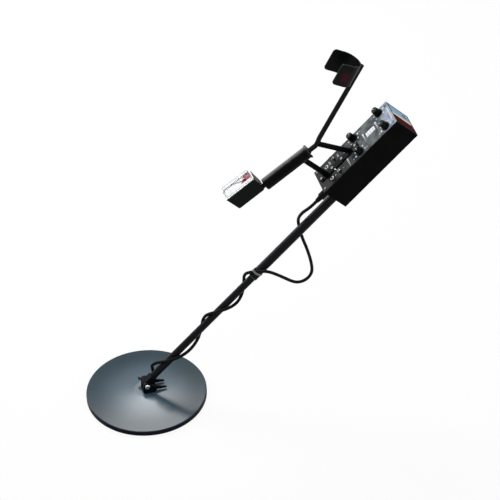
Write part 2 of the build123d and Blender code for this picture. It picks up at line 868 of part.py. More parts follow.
knob_foot = panel_top + run_gap
for number, (along, across) in enumerate(knob_places, start=1):
    knob_axis = Axis(spot(shaft, along, across, knob_foot), shaft.z_dir)
    with BuildPart() as knob:
        with BuildSketch(flank(shaft, along, across, knob_foot)):
            with BuildLine():
                Polyline(
                    (0, 0),
                    (knob_radius, 0),
                    (knob_radius, knob_skirt_height - knob_edge),
                    (knob_radius - knob_edge, knob_skirt_height),
                    (knob_body_radius, knob_skirt_height),
                    (knob_top_radius, knob_height - knob_edge),
                    (knob_top_radius - knob_edge, knob_height),
                    (0, knob_height),
                    close=True,
                )
            make_face()
        revolve(axis=knob_axis)
        with BuildSketch(deck(shaft, knob_foot + knob_skirt_height, along, across)):
            with PolarLocations(knob_body_radius, knob_flutes):
                Circle(knob_flute_radius)
        extrude(amount=knob_height, mode=Mode.SUBTRACT)
        with BuildSketch(deck(shaft, knob_foot, along, across)):
            Circle(pot_nut_radius + run_gap)
        extrude(amount=knob_recess_depth, mode=Mode.SUBTRACT)
        with BuildSketch(deck(shaft, spindle_low + run_gap, along, across)):
            Circle(spindle_radius)
        extrude(amount=knob_foot + knob_recess_depth - spindle_low)
    save(knob.part, f"knob_{number}")

# Toggle switches: a body below the panel with a hollow bush, and a lever that leans to either side
with BuildPart() as switch_bodies:
    with BuildSketch(deck(shaft, panel_seat)):
        with Locations(*switch_places):
            Rectangle(switch_body[0], switch_body[1])
    extrude(amount=-switch_body[2])
    with BuildSketch(deck(shaft, panel_seat)):
        with Locations(*switch_places):
            Circle(switch_bush_radius)
    extrude(amount=panel_thickness + switch_bush_height)
    with BuildSketch(deck(shaft, panel_seat)):
        with Locations(*switch_places):
            Circle(switch_bush_bore)
    extrude(amount=panel_thickness + switch_bush_height, mode=Mode.SUBTRACT)
save(switch_bodies.part, "switch_bodies")

for name, (along, across) in zip(("power_lever", "mode_lever"), switch_places):
    lever_frame = turned(shaft, spot(shaft, along, across, panel_top + lever_pivot_above), switch_lean)
    with BuildPart() as lever:
        with BuildSketch(deck(lever_frame, -lever_root)):
            Circle(lever_root_radius)
        with BuildSketch(deck(lever_frame, lever_length)):
            Circle(lever_tip_radius)
        loft()
        tip_edge = lever.edges().filter_by(GeomType.CIRCLE).group_by(SortBy.RADIUS)[-1]
        fillet(tip_edge, lever_tip_round)
    save(lever.part, name)

with BuildPart() as indicator_lamps:
    with BuildSketch(deck(shaft, panel_seat)):
        with Locations(*lamp_places):
            Circle(lamp_radius)
    extrude(amount=panel_thickness + lamp_height)
    dome_edges = indicator_lamps.edges().filter_by(GeomType.CIRCLE).group_by(above_shaft)[-1]
    fillet(dome_edges, lamp_round)
    with BuildSketch(deck(shaft, panel_seat)):
        with Locations(*lamp_places):
            Circle(lamp_flange_radius)
    extrude(amount=-lamp_height)
save(indicator_lamps.part, "indicator_lamps")

# Handle: one bent tube from the meter through the grip to the arm cuff
handle_corners = (
    spot(grip, -handle_front_reach, 0, 0),
    neck.origin,
    arm.origin,
    spot(arm, arm_length, 0, 0),
)


def handle_sweep(radius):
    with BuildPart() as swept:
        with BuildLine():
            FilletPolyline(*handle_corners, radius=[neck_bend_radius, elbow_bend_radius])
        with BuildSketch(section(grip, -handle_front_reach)):
            Circle(radius)
        sweep()
    return swept.part


cuff_above = handle_radius + fit_gap + cuff_radius
with BuildPart() as handle_tube:
    add(handle_sweep(handle_radius))
    add(handle_sweep(handle_radius - handle_tube_wall), mode=Mode.SUBTRACT)
    with BuildSketch(deck(arm, 0)):
        with Locations(*[(place, 0) for place in rivet_places]):
            Circle(rivet_radius + fit_gap)
    extrude(amount=handle_tube_diameter, mode=Mode.SUBTRACT)
save(handle_tube.part, "handle_tube")

with BuildPart() as handle_end_cap:
    with BuildSketch(section(grip, -handle_front_reach)):
        Circle(handle_radius)
    extrude(amount=-end_cap_thickness)
    with BuildSketch(section(grip, -handle_front_reach)):
        Circle(handle_radius - handle_tube_wall - fit_gap)
    extrude(amount=end_cap_spigot)
save(handle_end_cap.part, "handle_end_cap")

# Posts: a strap on the panel with two round posts that are coped to the handle tube
neck_above = neck.origin.sub(shaft.origin).dot(shaft.z_dir)
rear_post_foot = spot(shaft, case_front + rear_post_room, 0, panel_top)
rear_post_top = spot(shaft, case_front + rear_post_top_room, 0, neck_above)
rear_post_line = rear_post_top - rear_post_foot
rear_post_plane = Plane(rear_post_foot, x_dir=(0, 1, 0), z_dir=rear_post_line)
front_post_height = grip_above - (front_post_foot - grip_along) * tan(radians(grip_tilt)) - panel_top

with BuildPart() as handle_posts:
    with BuildSketch(rear_post_plane.offset(-rear_post_diameter)):
        Circle(rear_post_diameter / 2)
    extrude(amount=rear_post_line.length + rear_post_diameter)
    with BuildSketch(deck(shaft, panel_top, along=front_post_foot)):
        Circle(front_post_diameter / 2)
    extrude(amount=front_post_height)
    split(bisect_by=deck(shaft, panel_top), keep=Keep.TOP)
    with BuildSketch(deck(shaft, panel_top)):
        with Locations((case_front + strap_room + strap_length / 2, 0)):
            RectangleRounded(strap_length, strap_width, strap_corner)
        with Locations(*strap_holes):
            Circle(strap_screw_radius + fit_gap, mode=Mode.SUBTRACT)
    extrude(amount=strap_thickness)
    add(handle_sweep(handle_radius + fit_gap), mode=Mode.SUBTRACT)
save(handle_posts.part, "handle_posts")

with BuildPart() as strap_screws:
    with BuildSketch(deck(shaft, panel_top + strap_thickness)):
        with Locations(*strap_holes):
            Circle(strap_screw_head_radius)
    extrude(amount=strap_screw_head_height)
    with BuildSketch(deck(shaft, panel_top + strap_thickness)):
        with Locations(*strap_holes):
            Circle(strap_screw_radius)
    extrude(amount=-(strap_thickness + panel_thickness))
    with BuildSketch(deck(shaft, panel_seat)):
        with Locations(*strap_holes):
            RegularPolygon(strap_nut_radius, 6)
    extrude(amount=-strap_nut_height)
save(strap_screws.part, "strap_screws")

# Foam grip with a flange at its rear end, slit from behind for the front post
front_post_on_grip = (front_post_foot - grip_along) / cos(radians(grip_tilt))
grip_slot_start = front_post_on_grip - front_post_diameter / 2 - 2 * grip_slot_room
grip_slot_width = front_post_diameter + 2 * grip_slot_room
with BuildPart() as grip_sleeve:
    with BuildSketch(section(grip, grip_front)):
        Circle(grip_diameter / 2)
    extrude(amount=grip_rear - grip_front)
    with BuildSketch(section(grip, grip_rear - grip_flange_thickness)):
        Circle(grip_flange_diameter / 2)
    extrude(amount=grip_flange_thickness)
    along_grip = Axis(grip.origin, grip.x_dir)
    rim_edges = grip_sleeve.edges().filter_by(GeomType.CIRCLE).sort_by(along_grip)
    fillet((rim_edges[0], rim_edges[-1]), grip_end_round)
    with BuildSketch(section(grip, grip_front)):
        Circle(handle_radius + fit_gap)
    extrude(amount=grip_rear - grip_front, mode=Mode.SUBTRACT)
    with BuildSketch(deck(grip, handle_radius)):
        with Locations(((grip_slot_start + grip_rear) / 2, 0)):
            Rectangle(grip_rear - grip_slot_start, grip_slot_width)
    extrude(amount=-grip_flange_diameter, mode=Mode.SUBTRACT)
save(grip_sleeve.part, "grip_sleeve")

# Arm cuff: a bent trough that rides on the end of the tube, held by two rivets
cuff_inside = cuff_radius - cuff_thickness
with BuildPart() as arm_cuff:
    with BuildSketch(section(arm, cuff_start, 0, cuff_above)):
        with BuildLine():
            Line((-cuff_radius, cuff_wing_height), (-cuff_radius, 0))
            ThreePointArc((-cuff_radius, 0), (0, -cuff_radius), (cuff_radius, 0))
            Line((cuff_radius, 0), (cuff_radius, cuff_wing_height))
            Line((cuff_radius, cuff_wing_height), (cuff_inside, cuff_wing_height))
            Line((cuff_inside, cuff_wing_height), (cuff_inside, 0))
            ThreePointArc((cuff_inside, 0), (0, -cuff_inside), (-cuff_inside, 0))
            Line((-cuff_inside, 0), (-cuff_inside, cuff_wing_height))
            Line((-cuff_inside, cuff_wing_height), (-cuff_radius, cuff_wing_height))
        make_face()
    extrude(amount=cuff_length)
    fillet(arm_cuff.edges().filter_by(Axis.Y), cuff_corner)
    with BuildSketch(deck(arm, 0)):
        with Locations(*[(place, 0) for place in rivet_places]):
            Circle(rivet_radius + fit_gap)
    extrude(amount=cuff_above, mode=Mode.SUBTRACT)
save(arm_cuff.part, "arm_cuff")

rivet_seat = cuff_above - cuff_inside + rivet_head_radius**2 / (2 * cuff_inside)
with BuildPart() as cuff_rivets:
    with BuildSketch(deck(arm, rivet_seat)):
        with Locations(*[(place, 0) for place in rivet_places]):
            Circle(rivet_head_radius)
    extrude(amount=rivet_head_height)
    with BuildSketch(deck(arm, rivet_seat)):
        with Locations(*[(place, 0) for place in rivet_places]):
            Circle(rivet_radius)
    extrude(amount=-rivet_seat)
save(cuff_rivets.part, "cuff_rivets")

# Meter strapped on the front end of the handle: housing, movement, dial, needle, clear cover
meter_rim = meter_lift + meter_height
meter_floor = meter_lift + meter_floor_thickness
dial_face = meter_rim - dial_drop
dial_back = dial_face - dial_thickness
meter_lean = meter_front_lean / meter_height
meter_screw_spots = [(place, side * meter_screw_across) for place in meter_strap_places for side in (1, -1)]


def meter_block(inset, low, high):
    rear = meter_length / 2 - inset
    front_low = meter_lean * (meter_rim - low) + inset - meter_length / 2
    front_high = meter_lean * (meter_rim - high) + inset - meter_length / 2
    with BuildPart() as block:
        with BuildSketch(flank(grip, along=meter_place)):
            with BuildLine():
                Polyline((front_low, low), (rear, low), (rear, high), (front_high, high), close=True)
            make_face()
        extrude(amount=meter_width / 2 - inset, both=True)
        upward = [(abs(edge.tangent_at(0).dot(grip.z_dir)), edge) for edge in block.edges()]
        fillet([edge for share, edge in upward if share > meter_upright_share], meter_corner - inset)
    return block.part


with BuildPart() as meter_housing:
    add(meter_block(0, meter_lift, meter_rim))
    add(meter_block(meter_wall, meter_floor, meter_rim + meter_wall), mode=Mode.SUBTRACT)
    with BuildSketch(section(grip, meter_place - meter_length)):
        Circle(handle_radius + fit_gap)
    extrude(amount=2 * meter_length, mode=Mode.SUBTRACT)
    with BuildSketch(deck(grip, meter_lift, along=meter_place)):
        with Locations(*meter_screw_spots):
            Circle(meter_screw_radius + fit_gap)
    extrude(amount=meter_floor_thickness, mode=Mode.SUBTRACT)
save(meter_housing.part, "meter_housing")

strap_low = meter_lift - meter_strap_thickness
strap_bore = handle_radius + fit_gap
with BuildPart() as meter_straps:
    for place in meter_strap_places:
        with BuildSketch(section(grip, meter_place + place - meter_strap_width / 2)):
            Circle(strap_bore + meter_strap_thickness)
            with Locations((0, strap_low + meter_strap_thickness / 2)):
                Rectangle(2 * meter_strap_reach, meter_strap_thickness)
            Circle(strap_bore, mode=Mode.SUBTRACT)
            with Locations((0, meter_lift + handle_tube_diameter / 2)):
                Rectangle(2 * meter_strap_reach, handle_tube_diameter, mode=Mode.SUBTRACT)
        extrude(amount=meter_strap_width)
    with BuildSketch(deck(grip, strap_low, along=meter_place)):
        with Locations(*meter_screw_spots):
            Circle(meter_screw_radius + fit_gap)
    extrude(amount=meter_strap_thickness, mode=Mode.SUBTRACT)
save(meter_straps.part, "meter_straps")

with BuildPart() as meter_screws:
    with BuildSketch(deck(grip, strap_low, along=meter_place)):
        with Locations(*meter_screw_spots):
            Circle(meter_screw_head_radius)
    extrude(amount=-meter_screw_head_height)
    with BuildSketch(deck(grip, strap_low, along=meter_place)):
        with Locations(*meter_screw_spots):
            Circle(meter_screw_radius)
    extrude(amount=meter_strap_thickness + meter_floor_thickness)
save(meter_screws.part, "meter_screws")

pin_hole = needle_pin_radius + fit_gap
needle_low = dial_face + needle_lift
with BuildPart() as meter_movement:
    with BuildSketch(deck(grip, meter_floor, along=meter_place + needle_pivot)):
        Circle(movement_radius)
    extrude(amount=dial_back - meter_floor)
    with BuildSketch(deck(grip, dial_back, along=meter_place + needle_pivot)):
        Circle(pin_hole)
    extrude(amount=-needle_pin_length, mode=Mode.SUBTRACT)
save(meter_movement.part, "meter_movement")

with BuildPart() as meter_dial:
    add(meter_block(meter_wall + fit_gap, dial_back, dial_face))
    with BuildSketch(deck(grip, dial_back, along=meter_place + needle_pivot)):
        Circle(pin_hole + run_gap)
    extrude(amount=dial_thickness, mode=Mode.SUBTRACT)
save(meter_dial.part, "meter_dial")

needle_angle = radians(needle_swing / 2)
needle_plane = Plane(
    spot(grip, meter_place + needle_pivot, 0, needle_low),
    x_dir=grip.y_dir * sin(needle_angle) - grip.x_dir * cos(needle_angle),
    z_dir=grip.z_dir,
)
with BuildPart() as meter_needle:
    with BuildSketch(needle_plane):
        with BuildLine():
            Polyline(
                (0, -needle_width / 2),
                (needle_length, -needle_tip_width / 2),
                (needle_length, needle_tip_width / 2),
                (0, needle_width / 2),
                close=True,
            )
        make_face()
        Circle(needle_hub_radius)
    extrude(amount=needle_thickness)
    with BuildSketch(needle_plane):
        Circle(needle_pin_radius)
    extrude(amount=-needle_pin_length)
save(meter_needle.part, "meter_needle")


def cover_dome(inward):
    cover_size = [side - 2 * (meter_cover_inset + inward) for side in (meter_length, meter_width)]
    with BuildPart() as dome:
        with BuildSketch(deck(grip, meter_rim, along=meter_place)):
            RectangleRounded(*cover_size, meter_cover_corner - inward)
        extrude(amount=meter_cover_height - inward)
        fillet(dome.faces().sort_by(above_grip)[-1].edges(), meter_cover_round - inward)
    return dome.part


with BuildPart() as meter_cover:
    with BuildSketch(deck(grip, meter_rim, along=meter_place)):
        RectangleRounded(meter_length, meter_width, meter_corner)
    extrude(amount=meter_cover_wall)
    add(cover_dome(0))
    add(cover_dome(meter_cover_wall), mode=Mode.SUBTRACT)
save(meter_cover.part, "meter_cover")


# Coil cable: three stretches of one cable that meet in the middle of straight runs
cable_end = case_front - boot_end


def wrap_corner(share, degrees_round, out):
    angle = radians(wrap_zero + degrees_round)
    return spot(shaft, share * upper_tube_foot, out * cos(angle), out * sin(angle))


def loop_corner(share, across, above):
    return spot(shaft, upper_tube_foot + share * (cable_end - upper_tube_foot), across, above)


def cable_stretch(corners, name):
    runs = [b - a for a, b in zip(corners, corners[1:])]
    bends = []
    for before, after in zip(runs, runs[1:]):
        half_turn = radians(before.get_angle(after)) / 2
        bends.append(cable_bend_share * min(before.length, after.length) / tan(half_turn))
    with BuildPart() as stretch:
        with BuildLine() as path:
            FilletPolyline(*corners, radius=bends)
        with BuildSketch(Plane(corners[0], z_dir=runs[0])):
            Circle(cable_radius)
        sweep()
    length = path.wire().length
    share = stretch.part.volume / (pi * cable_radius**2 * length)
    print(name, "length", round(length, 1), "volume share", round(share, 4))
    print("  radii", [round(bend, 1) for bend in bends], "runs", [round(run.length, 1) for run in runs])
    save(stretch.part, name)


tail = [Vector(*gland_place, gland_top)] + [Vector(*corner) for corner in tail_route]
wrap = [wrap_corner(*corner) for corner in wrap_route]
loop = [loop_corner(*corner) for corner in loop_route]
loop.append(spot(shaft, cable_end, coil_socket_across, coil_socket_above))
tail_end = (tail[-1] + wrap[0]) * 0.5
wrap_end = (wrap[-1] + loop[0]) * 0.5
cable_stretch(tail + [tail_end], "cable_tail")
cable_stretch([tail_end] + wrap + [wrap_end], "cable_wrap")
cable_stretch([wrap_end] + loop, "cable_loop")

# Tie round the upper tube and the cable, where wrap and loop meet: a belt drawn tight over the tube
# and over the cable's two places at the tie's front and rear edges
tie_run = loop[0] - wrap[-1]
tie_step = tie_run * (tie_width / 2 / tie_run.dot(shaft.x_dir))
tie_crossings = [shaft.to_local_coords(wrap_end + step) for step in (-tie_step, tie_step)]
tie_lane = cable_radius * tie_step.length / (tie_width / 2)
tie_rollers = [(Vector(0, 0), upper_radius)]
tie_rollers += [(Vector(crossing.Y, crossing.Z), tie_lane) for crossing in tie_crossings]


def belt_side(first, second, grown):
    (first_middle, first_radius), (second_middle, second_radius) = first, second
    link = second_middle - first_middle
    lean = acos((first_radius - second_radius) / link.length)
    heading = atan2(link.Y, link.X)
    corners = []
    for side in (lean, -lean):
        out = Vector(cos(heading + side), sin(heading + side))
        ends = [first_middle + out * (first_radius + grown), second_middle + out * (second_radius + grown)]
        corners += ends if side > 0 else ends[::-1]
    return [(corner.X, corner.Y) for corner in corners]


def belt_face(grown):
    with BuildSketch(section(shaft, tie_crossings[0].X)) as face:
        for middle, radius in tie_rollers:
            with Locations((middle.X, middle.Y)):
                Circle(radius + grown)
        for first, second in combinations(tie_rollers, 2):
            Polygon(*belt_side(first, second, grown), align=None)
    return face.sketch


with BuildPart() as cable_tie:
    add(belt_face(fit_gap + tie_thickness))
    extrude(amount=tie_width, dir=shaft.x_dir)
    add(belt_face(fit_gap))
    extrude(amount=tie_width, dir=shaft.x_dir, mode=Mode.SUBTRACT)
save(cable_tie.part, "cable_tie")
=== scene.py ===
import math

import bmesh
import bpy
from mathutils import Matrix, Vector


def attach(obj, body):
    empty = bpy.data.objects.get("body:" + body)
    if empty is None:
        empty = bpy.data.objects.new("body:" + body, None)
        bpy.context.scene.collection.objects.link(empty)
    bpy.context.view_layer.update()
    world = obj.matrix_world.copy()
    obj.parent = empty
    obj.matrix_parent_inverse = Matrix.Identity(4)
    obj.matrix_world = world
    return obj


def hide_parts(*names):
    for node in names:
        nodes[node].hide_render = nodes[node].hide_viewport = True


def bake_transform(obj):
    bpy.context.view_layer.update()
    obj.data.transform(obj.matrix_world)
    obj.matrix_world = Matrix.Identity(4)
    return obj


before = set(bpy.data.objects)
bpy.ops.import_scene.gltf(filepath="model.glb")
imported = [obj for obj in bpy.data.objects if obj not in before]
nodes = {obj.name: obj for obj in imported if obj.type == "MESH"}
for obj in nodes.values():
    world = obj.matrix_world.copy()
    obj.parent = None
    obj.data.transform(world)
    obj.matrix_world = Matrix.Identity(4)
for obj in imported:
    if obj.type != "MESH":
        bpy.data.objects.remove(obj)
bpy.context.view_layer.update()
scene = bpy.context.scene
perMetre = 1000  # settings are in millimetres and degrees where they don't say otherwise
quarterTurn = 90
tiny = 1e-6  # metres
print("frame loaded, nodes:", len(nodes))

# the detector's own directions, as in the CAD
layout = {
    "pivotHeight": 36.5,
    "shaftAngle": 44.0,
    "gripPlace": (668.0, 165.0),  # along the shaft and above it
    "gripAngle": 34.5,
    "neckReach": 99.0,
    "elbowPlace": (20.0, 9.0),  # from the neck, along the shaft and above it
    "armAngle": 61.0,
}


class Line:
    # a straight member: along it, across to the far side, and above it
    def __init__(self, origin, angle):
        turn = math.radians(angle)
        self.origin = origin
        self.along = Vector((math.cos(turn), 0, math.sin(turn)))
        self.across = Vector((0, 1, 0))
        self.above = Vector((-math.sin(turn), 0, math.cos(turn)))

    def at(self, along, across, above):
        offset = self.along * along + self.across * across + self.above * above
        return self.origin + offset / perMetre

    def place(self, along=0, across=0, above=0):
        turn = Matrix((self.along, self.across, self.above)).transposed()
        return Matrix.Translation(self.at(along, across, above)) @ turn.to_4x4()

    def page(self, along, across, above):
        # lettering read by the operator: its right is across, its top points at the coil
        turn = Matrix((self.across, -self.along, self.above)).transposed()
        return Matrix.Translation(self.at(along, across, above)) @ turn.to_4x4()


shaft = Line(Vector((0, 0, layout["pivotHeight"] / perMetre)), layout["shaftAngle"])
gripAlong, gripAbove = layout["gripPlace"]
grip = Line(shaft.at(gripAlong, 0, gripAbove), layout["gripAngle"])
elbowAlong, elbowAbove = layout["elbowPlace"]
elbow = (shaft.along * elbowAlong + shaft.above * elbowAbove) / perMetre
arm = Line(grip.at(layout["neckReach"], 0, 0) + elbow, layout["armAngle"])


def show(data, name):
    piece = bpy.data.objects.new(name, data)
    scene.collection.objects.link(piece)
    return piece


def toMesh(bm, name):
    mesh = bpy.data.meshes.new(name)
    bm.to_mesh(mesh)
    bm.free()
    return mesh


def evaluated(piece):
    graph = bpy.context.evaluated_depsgraph_get()
    return bpy.data.meshes.new_from_object(piece.evaluated_get(graph))


# camera at the photograph's angle, its place and reach in metres
cameraSet = {
    "spot": (-0.90036, -4.45584, 4.23810),
    "right": (0.96106, -0.27524, -0.02451),
    "up": (0.19443, 0.61053, 0.76776),
    "back": (-0.19636, -0.74263, 0.64027),
    "lens": 179.1,
    "sensor": 36,
    "farthest": 100,
}


def makeCamera(settings):
    data = bpy.data.cameras.new("photoCamera")
    data.lens = settings["lens"]
    data.sensor_width = settings["sensor"]
    data.clip_end = settings["farthest"]
    turn = Matrix([settings[side] for side in ("right", "up", "back")]).transposed()
    camera = show(data, "photoCamera")
    camera.matrix_world = Matrix.Translation(settings["spot"]) @ turn.to_4x4()
    scene.camera = camera


makeCamera(cameraSet)
print("camera set")


# shader maths: an expression on sockets adds its Math nodes
class Sock:
    def __init__(self, home, socket):
        self.home = home
        self.socket = socket

    def calc(self, operation, first, second=0):
        return self.home.add("ShaderNodeMath", {"operation": operation}, {0: first, 1: second})

    def __add__(self, other):
        return self.calc("ADD", self, other)

    def __radd__(self, other):
        return self.calc("ADD", other, self)

    def __sub__(self, other):
        return self.calc("SUBTRACT", self, other)

    def __rsub__(self, other):
        return self.calc("SUBTRACT", other, self)

    def __mul__(self, other):
        return self.calc("MULTIPLY", self, other)

    def __rmul__(self, other):
        return self.calc("MULTIPLY", other, self)

    def __lt__(self, other):
        return self.calc("LESS_THAN", self, other)

    def __gt__(self, other):
        return self.calc("GREATER_THAN", self, other)

    def __abs__(self):
        return self.calc("ABSOLUTE", self)

    def sine(self):
        return self.calc("SINE", self)

    def larger(self, other):
        return self.calc("MAXIMUM", self, other)


class Tree:
    def __init__(self, tree):
        self.tree = tree

    def add(self, kind, settings=None, sockets=None, out=0):
        node = self.tree.nodes.new(kind)
        for key, value in (settings or {}).items():
            setattr(node, key, value)
        for key, value in (sockets or {}).items():
            self.join(node.inputs[key], value)
        return Sock(self, node.outputs[out])

    def join(self, target, value):
        if isinstance(value, Sock):
            self.tree.links.new(value.socket, target)
        else:
            target.default_value = value

    def seen(self):
        # one for rays from the camera and for those in gloss and glass, which show the white too
        kinds = ("Is Camera Ray", "Is Glossy Ray", "Is Transmission Ray")
        camera, gloss, glass = [self.add("ShaderNodeLightPath", out=kind) for kind in kinds]
        return camera.larger(gloss).larger(glass)

    def surface(self, output, share, first, second):
        mixed = self.add("ShaderNodeMixShader", sockets={0: share, 1: first, 2: second})
        self.join(self.tree.nodes[output].inputs["Surface"], mixed)


shaderSockets = {
    "colour": "Base Color", "roughness": "Roughness", "metallic": "Metallic", "alpha": "Alpha",
    "normal": "Normal", "specular": "Specular IOR Level", "coat": "Coat Weight",
    "coatRoughness": "Coat Roughness", "sheen": "Sheen Weight", "sheenRoughness": "Sheen Roughness",
    "glow": "Emission Color", "glowStrength": "Emission Strength",
}
noiseSet = {"roughness": 0.55, "middle": 0.5}
edgeSet = {"samples": 4, "flat": 0.995, "worn": 0.80}  # how far a softened normal leans on an edge


# in the settings of a finish, tones are a dark and a light one, and a noise is its scale and detail,
# with the span that counts where there is one; a gloss is a span and the roughness at its ends,
# a bump is height and strength, and a scale has values along, across and above a member
class Finish(Tree):
    def __init__(self, name, **constants):
        self.material = bpy.data.materials.new(name)
        self.material.use_nodes = True
        super().__init__(self.material.node_tree)
        self.shader = self.tree.nodes["Principled BSDF"]
        for socket, value in constants.items():
            self.feed(socket, value)

    def feed(self, socket, value):
        self.join(self.shader.inputs[shaderSockets[socket]], value)

    def gloss(self, value, low, high, lowTo, highTo, rough=0.0):
        self.feed("roughness", self.span(value, low, high, rough + lowTo, rough + highTo))

    def relief(self, height, distance, strength, normal=None):
        sockets = {"Height": height, "Distance": distance / perMetre, "Strength": strength}
        if normal:
            sockets["Normal"] = normal
        self.feed("normal", self.add("ShaderNodeBump", sockets=sockets))

    def spot(self):
        return self.add("ShaderNodeTexCoord", out="Object")

    def vectors(self, operation, sockets, out="Value"):
        return self.add("ShaderNodeVectorMath", {"operation": operation}, sockets, out)

    def along(self, line, direction):
        # distance in millimetres along one direction of a member
        axis = getattr(line, direction)
        reach = self.vectors("DOT_PRODUCT", {0: self.spot(), 1: axis})
        return reach * perMetre - line.origin.dot(axis) * perMetre

    def outward(self):
        # distance in millimetres from the coil's axis
        flat = self.vectors("MULTIPLY", {0: self.spot(), 1: (1, 1, 0)}, "Vector")
        return self.vectors("LENGTH", {0: flat}) * perMetre

    def stretched(self, line, scale):
        # object coordinates turned into a member's directions and scaled along each
        sides = zip(("along", "across", "above"), scale)
        parts = [self.along(line, side) * (share / perMetre) for side, share in sides]
        return self.add("ShaderNodeCombineXYZ", sockets=dict(enumerate(parts)))

    def noise(self, scale, detail, vector=None):
        sockets = {"Vector": vector or self.spot(), "Scale": scale, "Detail": detail,
                   "Roughness": noiseSet["roughness"]}
        return self.add("ShaderNodeTexNoise", sockets=sockets, out="Fac")

    def cells(self, scale):
        sockets = {"Vector": self.spot(), "Scale": scale}
        return self.add("ShaderNodeTexVoronoi", {"feature": "F1"}, sockets, "Distance")

    def span(self, value, low, high, lowTo=0.0, highTo=1.0):
        sockets = dict(enumerate((value, low, high, lowTo, highTo)))
        return self.add("ShaderNodeMapRange", {"interpolation_type": "SMOOTHSTEP"}, sockets)

    def patches(self, scale, detail, low, high, vector=None):
        return self.span(self.noise(scale, detail, vector), low, high)

    def within(self, value, low, high, fade):
        rise = self.span(value, low - fade, low + fade)
        return rise * self.span(value, high + fade, high - fade)

    def blend(self, share, first, second):
        # 6, 7 and 2 are a Mix node's sockets for colours
        return self.add("ShaderNodeMix", {"data_type": "RGBA"}, {0: share, 6: first, 7: second}, 2)

    def cloudy(self, share, tones):
        dark, light = tones
        return self.blend(share, tone(*dark), tone(*light))

    def softEdge(self, radius):
        samples = {"samples": edgeSet["samples"]}
        return self.add("ShaderNodeBevel", samples, {"Radius": radius / perMetre})

    def edgeShare(self, rounded):
        face = self.add("ShaderNodeNewGeometry", out="Normal")
        facing = self.vectors("DOT_PRODUCT", {0: rounded, 1: face})
        return self.span(facing, edgeSet["flat"], edgeSet["worn"])


def tone(red, green, blue):
    # a colour of 0 to 255 on the screen, as the light that the shader works with
    def linear(value):
        share = value / 255
        return share / 12.92 if share <= 0.04045 else ((share + 0.055) / 1.055) ** 2.4
    return (linear(red), linear(green), linear(blue), 1.0)


# cable: route points as in the CAD
cableSet = {
    "diameter": 8.0,
    "gland": (27.0, 35.0, 28.739),
    "tail": ((27.0, 35.0, 45.0), (22.0, 25.0, 68.0), (31.0, 6.0, 92.0)),
    "wrapZero": 51.2,
    "wrap": (  # along the shaft, turned round it, and out from its axis
        (88.5, 90.0, 17.3), (126.4, 165.0, 18.5), (165.9, 200.0, 18.5), (197.9, 262.0, 17.0),
        (220.0, 322.0, 16.2), (242.1, 382.0, 16.2), (270.2, 446.0, 16.2), (297.8, 505.0, 17.0),
        (321.9, 550.0, 18.4), (346.0, 606.0, 17.3), (366.2, 664.0, 16.8), (380.0, 713.0, 18.7),
        (397.0, 756.0, 20.3),
    ),
    "loop": (  # along the shaft, across it and above it
        (426.9, -18.8, 7.8), (436.6, -22.8, -6.5), (439.4, -19.8, -30.0), (441.0, -16.0, -60.0),
        (443.0, -13.5, -89.5), (449.7, -12.0, -105.3), (463.6, -10.8, -115.5),
        (480.8, -10.2, -116.0), (495.7, -10.0, -107.5), (516.0, -11.0, -80.0),
        (536.0, -9.0, -46.0), (546.1, 5.0, -26.0), (558.9, 20.0, -9.0), (576.1, 18.0, 15.0),
        (602.1, -1.0, 35.0), (630.1, -12.0, 37.0),
    ),
    "plug": (651.9, -12.0, 37.0),
    "lengths": (0.0898, 0.3962, 0.4294),  # of tail, wrap and loop, in metres
    "routeSteps": 10,
    "roundSteps": 4,
    "specular": 0.06,
    "tones": ((4, 4, 5), (12, 12, 13)),
    "grain": (900, 4),
    "cloud": (120, 3),
    "gloss": (0.3, 0.7, 0.38, 0.55),
    "bump": (0.04, 1.0),
}


def makeJacket(settings):
    made = Finish("cableJacket", specular=settings["specular"])
    grain = made.noise(*settings["grain"])
    made.feed("colour", made.cloudy(grain, settings["tones"]))
    made.gloss(made.noise(*settings["cloud"]), *settings["gloss"])
    made.relief(grain, *settings["bump"])
    return made


def makeStretch(name, points, settings, jacket):
    curve = bpy.data.curves.new(name + "Route", "CURVE")
    curve.dimensions = "3D"
    curve.resolution_u = settings["routeSteps"]
    spline = curve.splines.new("NURBS")
    spline.points.add(len(points) - 1)
    for knot, point in zip(spline.points, points):
        knot.co = (*point, 1)
    spline.order_u = 3
    spline.use_endpoint_u = True
    route = show(curve, name + "Route")
    path = [vert.co.copy() for vert in evaluated(route).vertices]
    curve.bevel_depth = settings["diameter"] / 2 / perMetre
    curve.bevel_resolution = settings["roundSteps"]
    curve.use_fill_caps = True
    mesh = evaluated(route)
    bpy.data.objects.remove(route)
    mesh.name = name
    mesh.materials.clear()
    mesh.materials.append(jacket.material)
    mesh.shade_smooth()
    return show(mesh, name), path


def makeCable(settings):
    def wound(along, turned, out):
        turn = math.radians(settings["wrapZero"] + turned)
        return shaft.at(along, out * math.cos(turn), out * math.sin(turn))

    jacket = makeJacket(settings)
    tail = [Vector(point) / perMetre for point in (settings["gland"], *settings["tail"])]
    wrap = [wound(*point) for point in settings["wrap"]]
    loop = [shaft.at(*point) for point in (*settings["loop"], settings["plug"])]
    lowSeam = (tail[-1] + wrap[0]) / 2
    highSeam = (wrap[-1] + loop[0]) / 2
    # name, replaced node, how it lies, the two bodies that it runs between, and its points
    stretches = (
        ("coilCableTail", "cable_tail", "loose", ("coil", "lower_shaft"), [*tail, lowSeam]),
        ("coilCableWrap", "cable_wrap", "loose", ("lower_shaft", "frame"),
         [lowSeam, *wrap, highSeam]),
        ("coilCableLoop", "cable_loop", "hanging", None, [highSeam, *loop]),
    )
    for (name, node, lay, bodies, points), length in zip(stretches, settings["lengths"]):
        piece, path = makeStretch(name, points, settings, jacket)
        if bodies:
            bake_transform(piece)
        else:
            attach(piece, "frame")
        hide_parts(node)


makeCable(cableSet)
print("cable laid")

